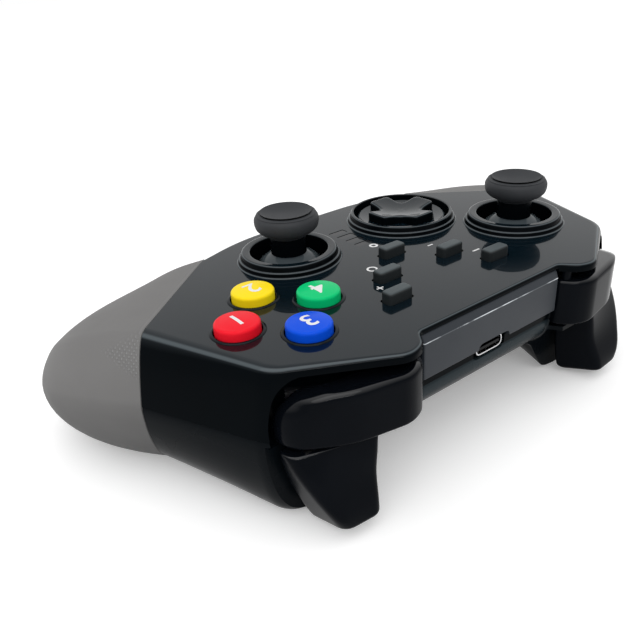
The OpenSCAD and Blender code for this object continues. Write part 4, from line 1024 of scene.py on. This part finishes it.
def crossRing(inset, sunk, scale=1.0):
    places = insetCorners(crossPlaces, [inset] * len(crossPlaces)) if inset > 0 else crossPlaces
    corners = [(p, crossLook["innerRound" if k % 3 == 2 else "outerRound"]) for k, p in enumerate(places)]
    ring = scale * closedRing(corners, 6, 1)
    heights = [bowlHeight(np.linalg.norm(p)) - sunk for p in ring]
    return np.column_stack([ring + np.array(padPlace), heights])


crossEdge = crossLook["edge"]
crossRings = [crossRing(0, sunk) for sunk in crossLook["sides"]]
crossRings += [crossRing(crossEdge * (1 - math.cos(a)), crossEdge * (1 - math.sin(a)))
               for a in np.radians(np.linspace(0, 90, 7))]
crossRings += [crossRing(crossEdge, 0, k) for k in (0.88, 0.75, 0.6, 0.45, 0.3, 0.15)]
dish = lathe("direction_pad_dish", dishLine, padPlace, 128)
join(dish, [loft("cross", crossRings)])
settle(dish, "direction_pad_body", glossBlack, "direction_pad", turnedAngle)
print("stage: direction pad")

# printed marks
markLook = {"top": 0.03, "thick": 0.1, "plus": 0.18}


def flatMark(name, outline, place):
    points = [(place[0] + p[0], place[1] + p[1]) for p in outline]
    mark = prism(name, points, markLook["top"], markLook["top"] - markLook["thick"])
    settle(mark, "body", markWhite)


def dashMark(name, half, thick, place):
    flatMark(name, [(-half, thick), (half, thick), (half, -thick), (-half, -thick)], place)


def ringMark(name, radius, width, place):
    low, top = -markLook["thick"], markLook["top"]
    line = [(radius - width, low), (radius - width, top), (radius, top), (radius, low)]
    settle(lathe(name, line, place, 40, True), "body", markWhite)


thin = markLook["plus"]
plusShape = [(-1, thin), (-thin, thin), (-thin, 1), (thin, 1), (thin, thin), (1, thin), (1, -thin),
             (thin, -thin), (thin, -1), (-thin, -1), (-thin, -thin), (-1, -thin)]
flatMark("plus_mark", plusShape, (15.6, 17.0))
dashMark("minus_mark", 1.2, 0.25, (-16.5, 17.8))
ringMark("home_mark", 1.4, 0.5, (9.8, 7.8))
dashMark("turbo_mark", 0.9, 0.2, (-11.0, 7.2))
ringMark("capture_mark", 1.2, 0.6, (-0.6, -3.3))
print("stage: marks")

# finishes of the pieces kept from the frame
kept = {"pad_seat": darkPlastic, "bumper_pins": shoulderBlack, "circuit_board": boardGreen,
        "battery": batteryGrey, "charging_socket": socketSteel, "lamp_window": lampClear}
for name in ("button_membrane", "pad_membrane", "centre_membrane"):
    kept[name] = slateRubber
for name in ("pad_rocker", "bumper_switches", "trigger_pins", "case_screws", "board_screws"):
    kept[name] = steel
for side in ("right", "left"):
    kept[side + "_stick_yoke"] = darkPlastic
    for piece in ("_trigger_spring", "_motor", "_weight", "_stick_housing", "_stick_rocker"):
        kept[side + piece] = steel
for name, material in kept.items():
    nodes[name].data.materials.clear()
    nodes[name].data.materials.append(material)
print("stage: kept pieces")

# floor, lamps and world
floorLook = {"half": 4, "glow": 0.22}
lightLook = {"sun": 1.0, "sunSpread": 70, "sunPlace": (0.3, 0.2, 1.0), "strip": 0.6, "stripSize": (0.5, 0.02),
             "stripPlace": (0.25, 0.55, 0.5), "stripAim": (0.0, 0.02, 0.03), "soft": 0.72, "white": 1.0}


def seenRays(tree):  # rays that show the background and don't light the part
    path = tree.nodes.new("ShaderNodeLightPath")
    seen = calc(tree, "MAXIMUM", path.outputs["Is Camera Ray"], path.outputs["Is Glossy Ray"])
    return calc(tree, "MAXIMUM", seen, path.outputs["Is Transmission Ray"])


floorMesh = bpy.data.meshes.new("floor")
floorCorners = [(c[0] * floorLook["half"], c[1] * floorLook["half"], 0) for c in reversed(squareCorners)]
floorMesh.from_pydata(floorCorners, [], [(0, 1, 2, 3)])
floor = addObject("floor", floorMesh)
floorWhite = finish("floor_white", {"dark": (0.95, 0.95, 0.95), "light": (0.97, 0.97, 0.97), "grain": 300.0,
                                    "rough": (0.8, 0.9), "bump": 0.0, "specular": 0.0})
floorTree = floorWhite.node_tree
floorShader = floorTree.nodes["Principled BSDF"]
floorShader.inputs["Emission Color"].default_value = (1, 1, 1, 1)
floorTree.links.new(calc(floorTree, "MULTIPLY", seenRays(floorTree), floorLook["glow"]),
                    floorShader.inputs["Emission Strength"])
floorMesh.materials.append(floorWhite)


def aimed(name, kind, place, target):
    data = bpy.data.lights.new(name, kind)
    lamp = addObject(name, data)
    lamp.location = place
    lamp.rotation_euler = (Vector(target) - Vector(place)).to_track_quat("-Z", "Y").to_euler()
    return data


sun = aimed("sky_sun", "SUN", lightLook["sunPlace"], (0, 0, 0))
sun.energy = lightLook["sun"]
sun.angle = math.radians(lightLook["sunSpread"])
strip = aimed("front_strip", "AREA", lightLook["stripPlace"], lightLook["stripAim"])
strip.shape = "RECTANGLE"
strip.size, strip.size_y = lightLook["stripSize"]
strip.energy = lightLook["strip"]
world = bpy.data.worlds.new("studio")
bpy.context.scene.world = world
world.use_nodes = True
worldTree = world.node_tree
worldTree.nodes.clear()
worldMix = worldTree.nodes.new("ShaderNodeMixShader")
worldTree.links.new(seenRays(worldTree), worldMix.inputs["Fac"])
for k, strength in ((1, lightLook["soft"]), (2, lightLook["white"])):
    background = worldTree.nodes.new("ShaderNodeBackground")
    background.inputs["Color"].default_value = (1, 1, 1, 1)
    background.inputs["Strength"].default_value = strength
    worldTree.links.new(background.outputs[0], worldMix.inputs[k])
worldOutput = worldTree.nodes.new("ShaderNodeOutputWorld")
worldTree.links.new(worldMix.outputs[0], worldOutput.inputs["Surface"])
bpy.context.scene.view_settings.view_transform = "Standard"
print("stage: light")
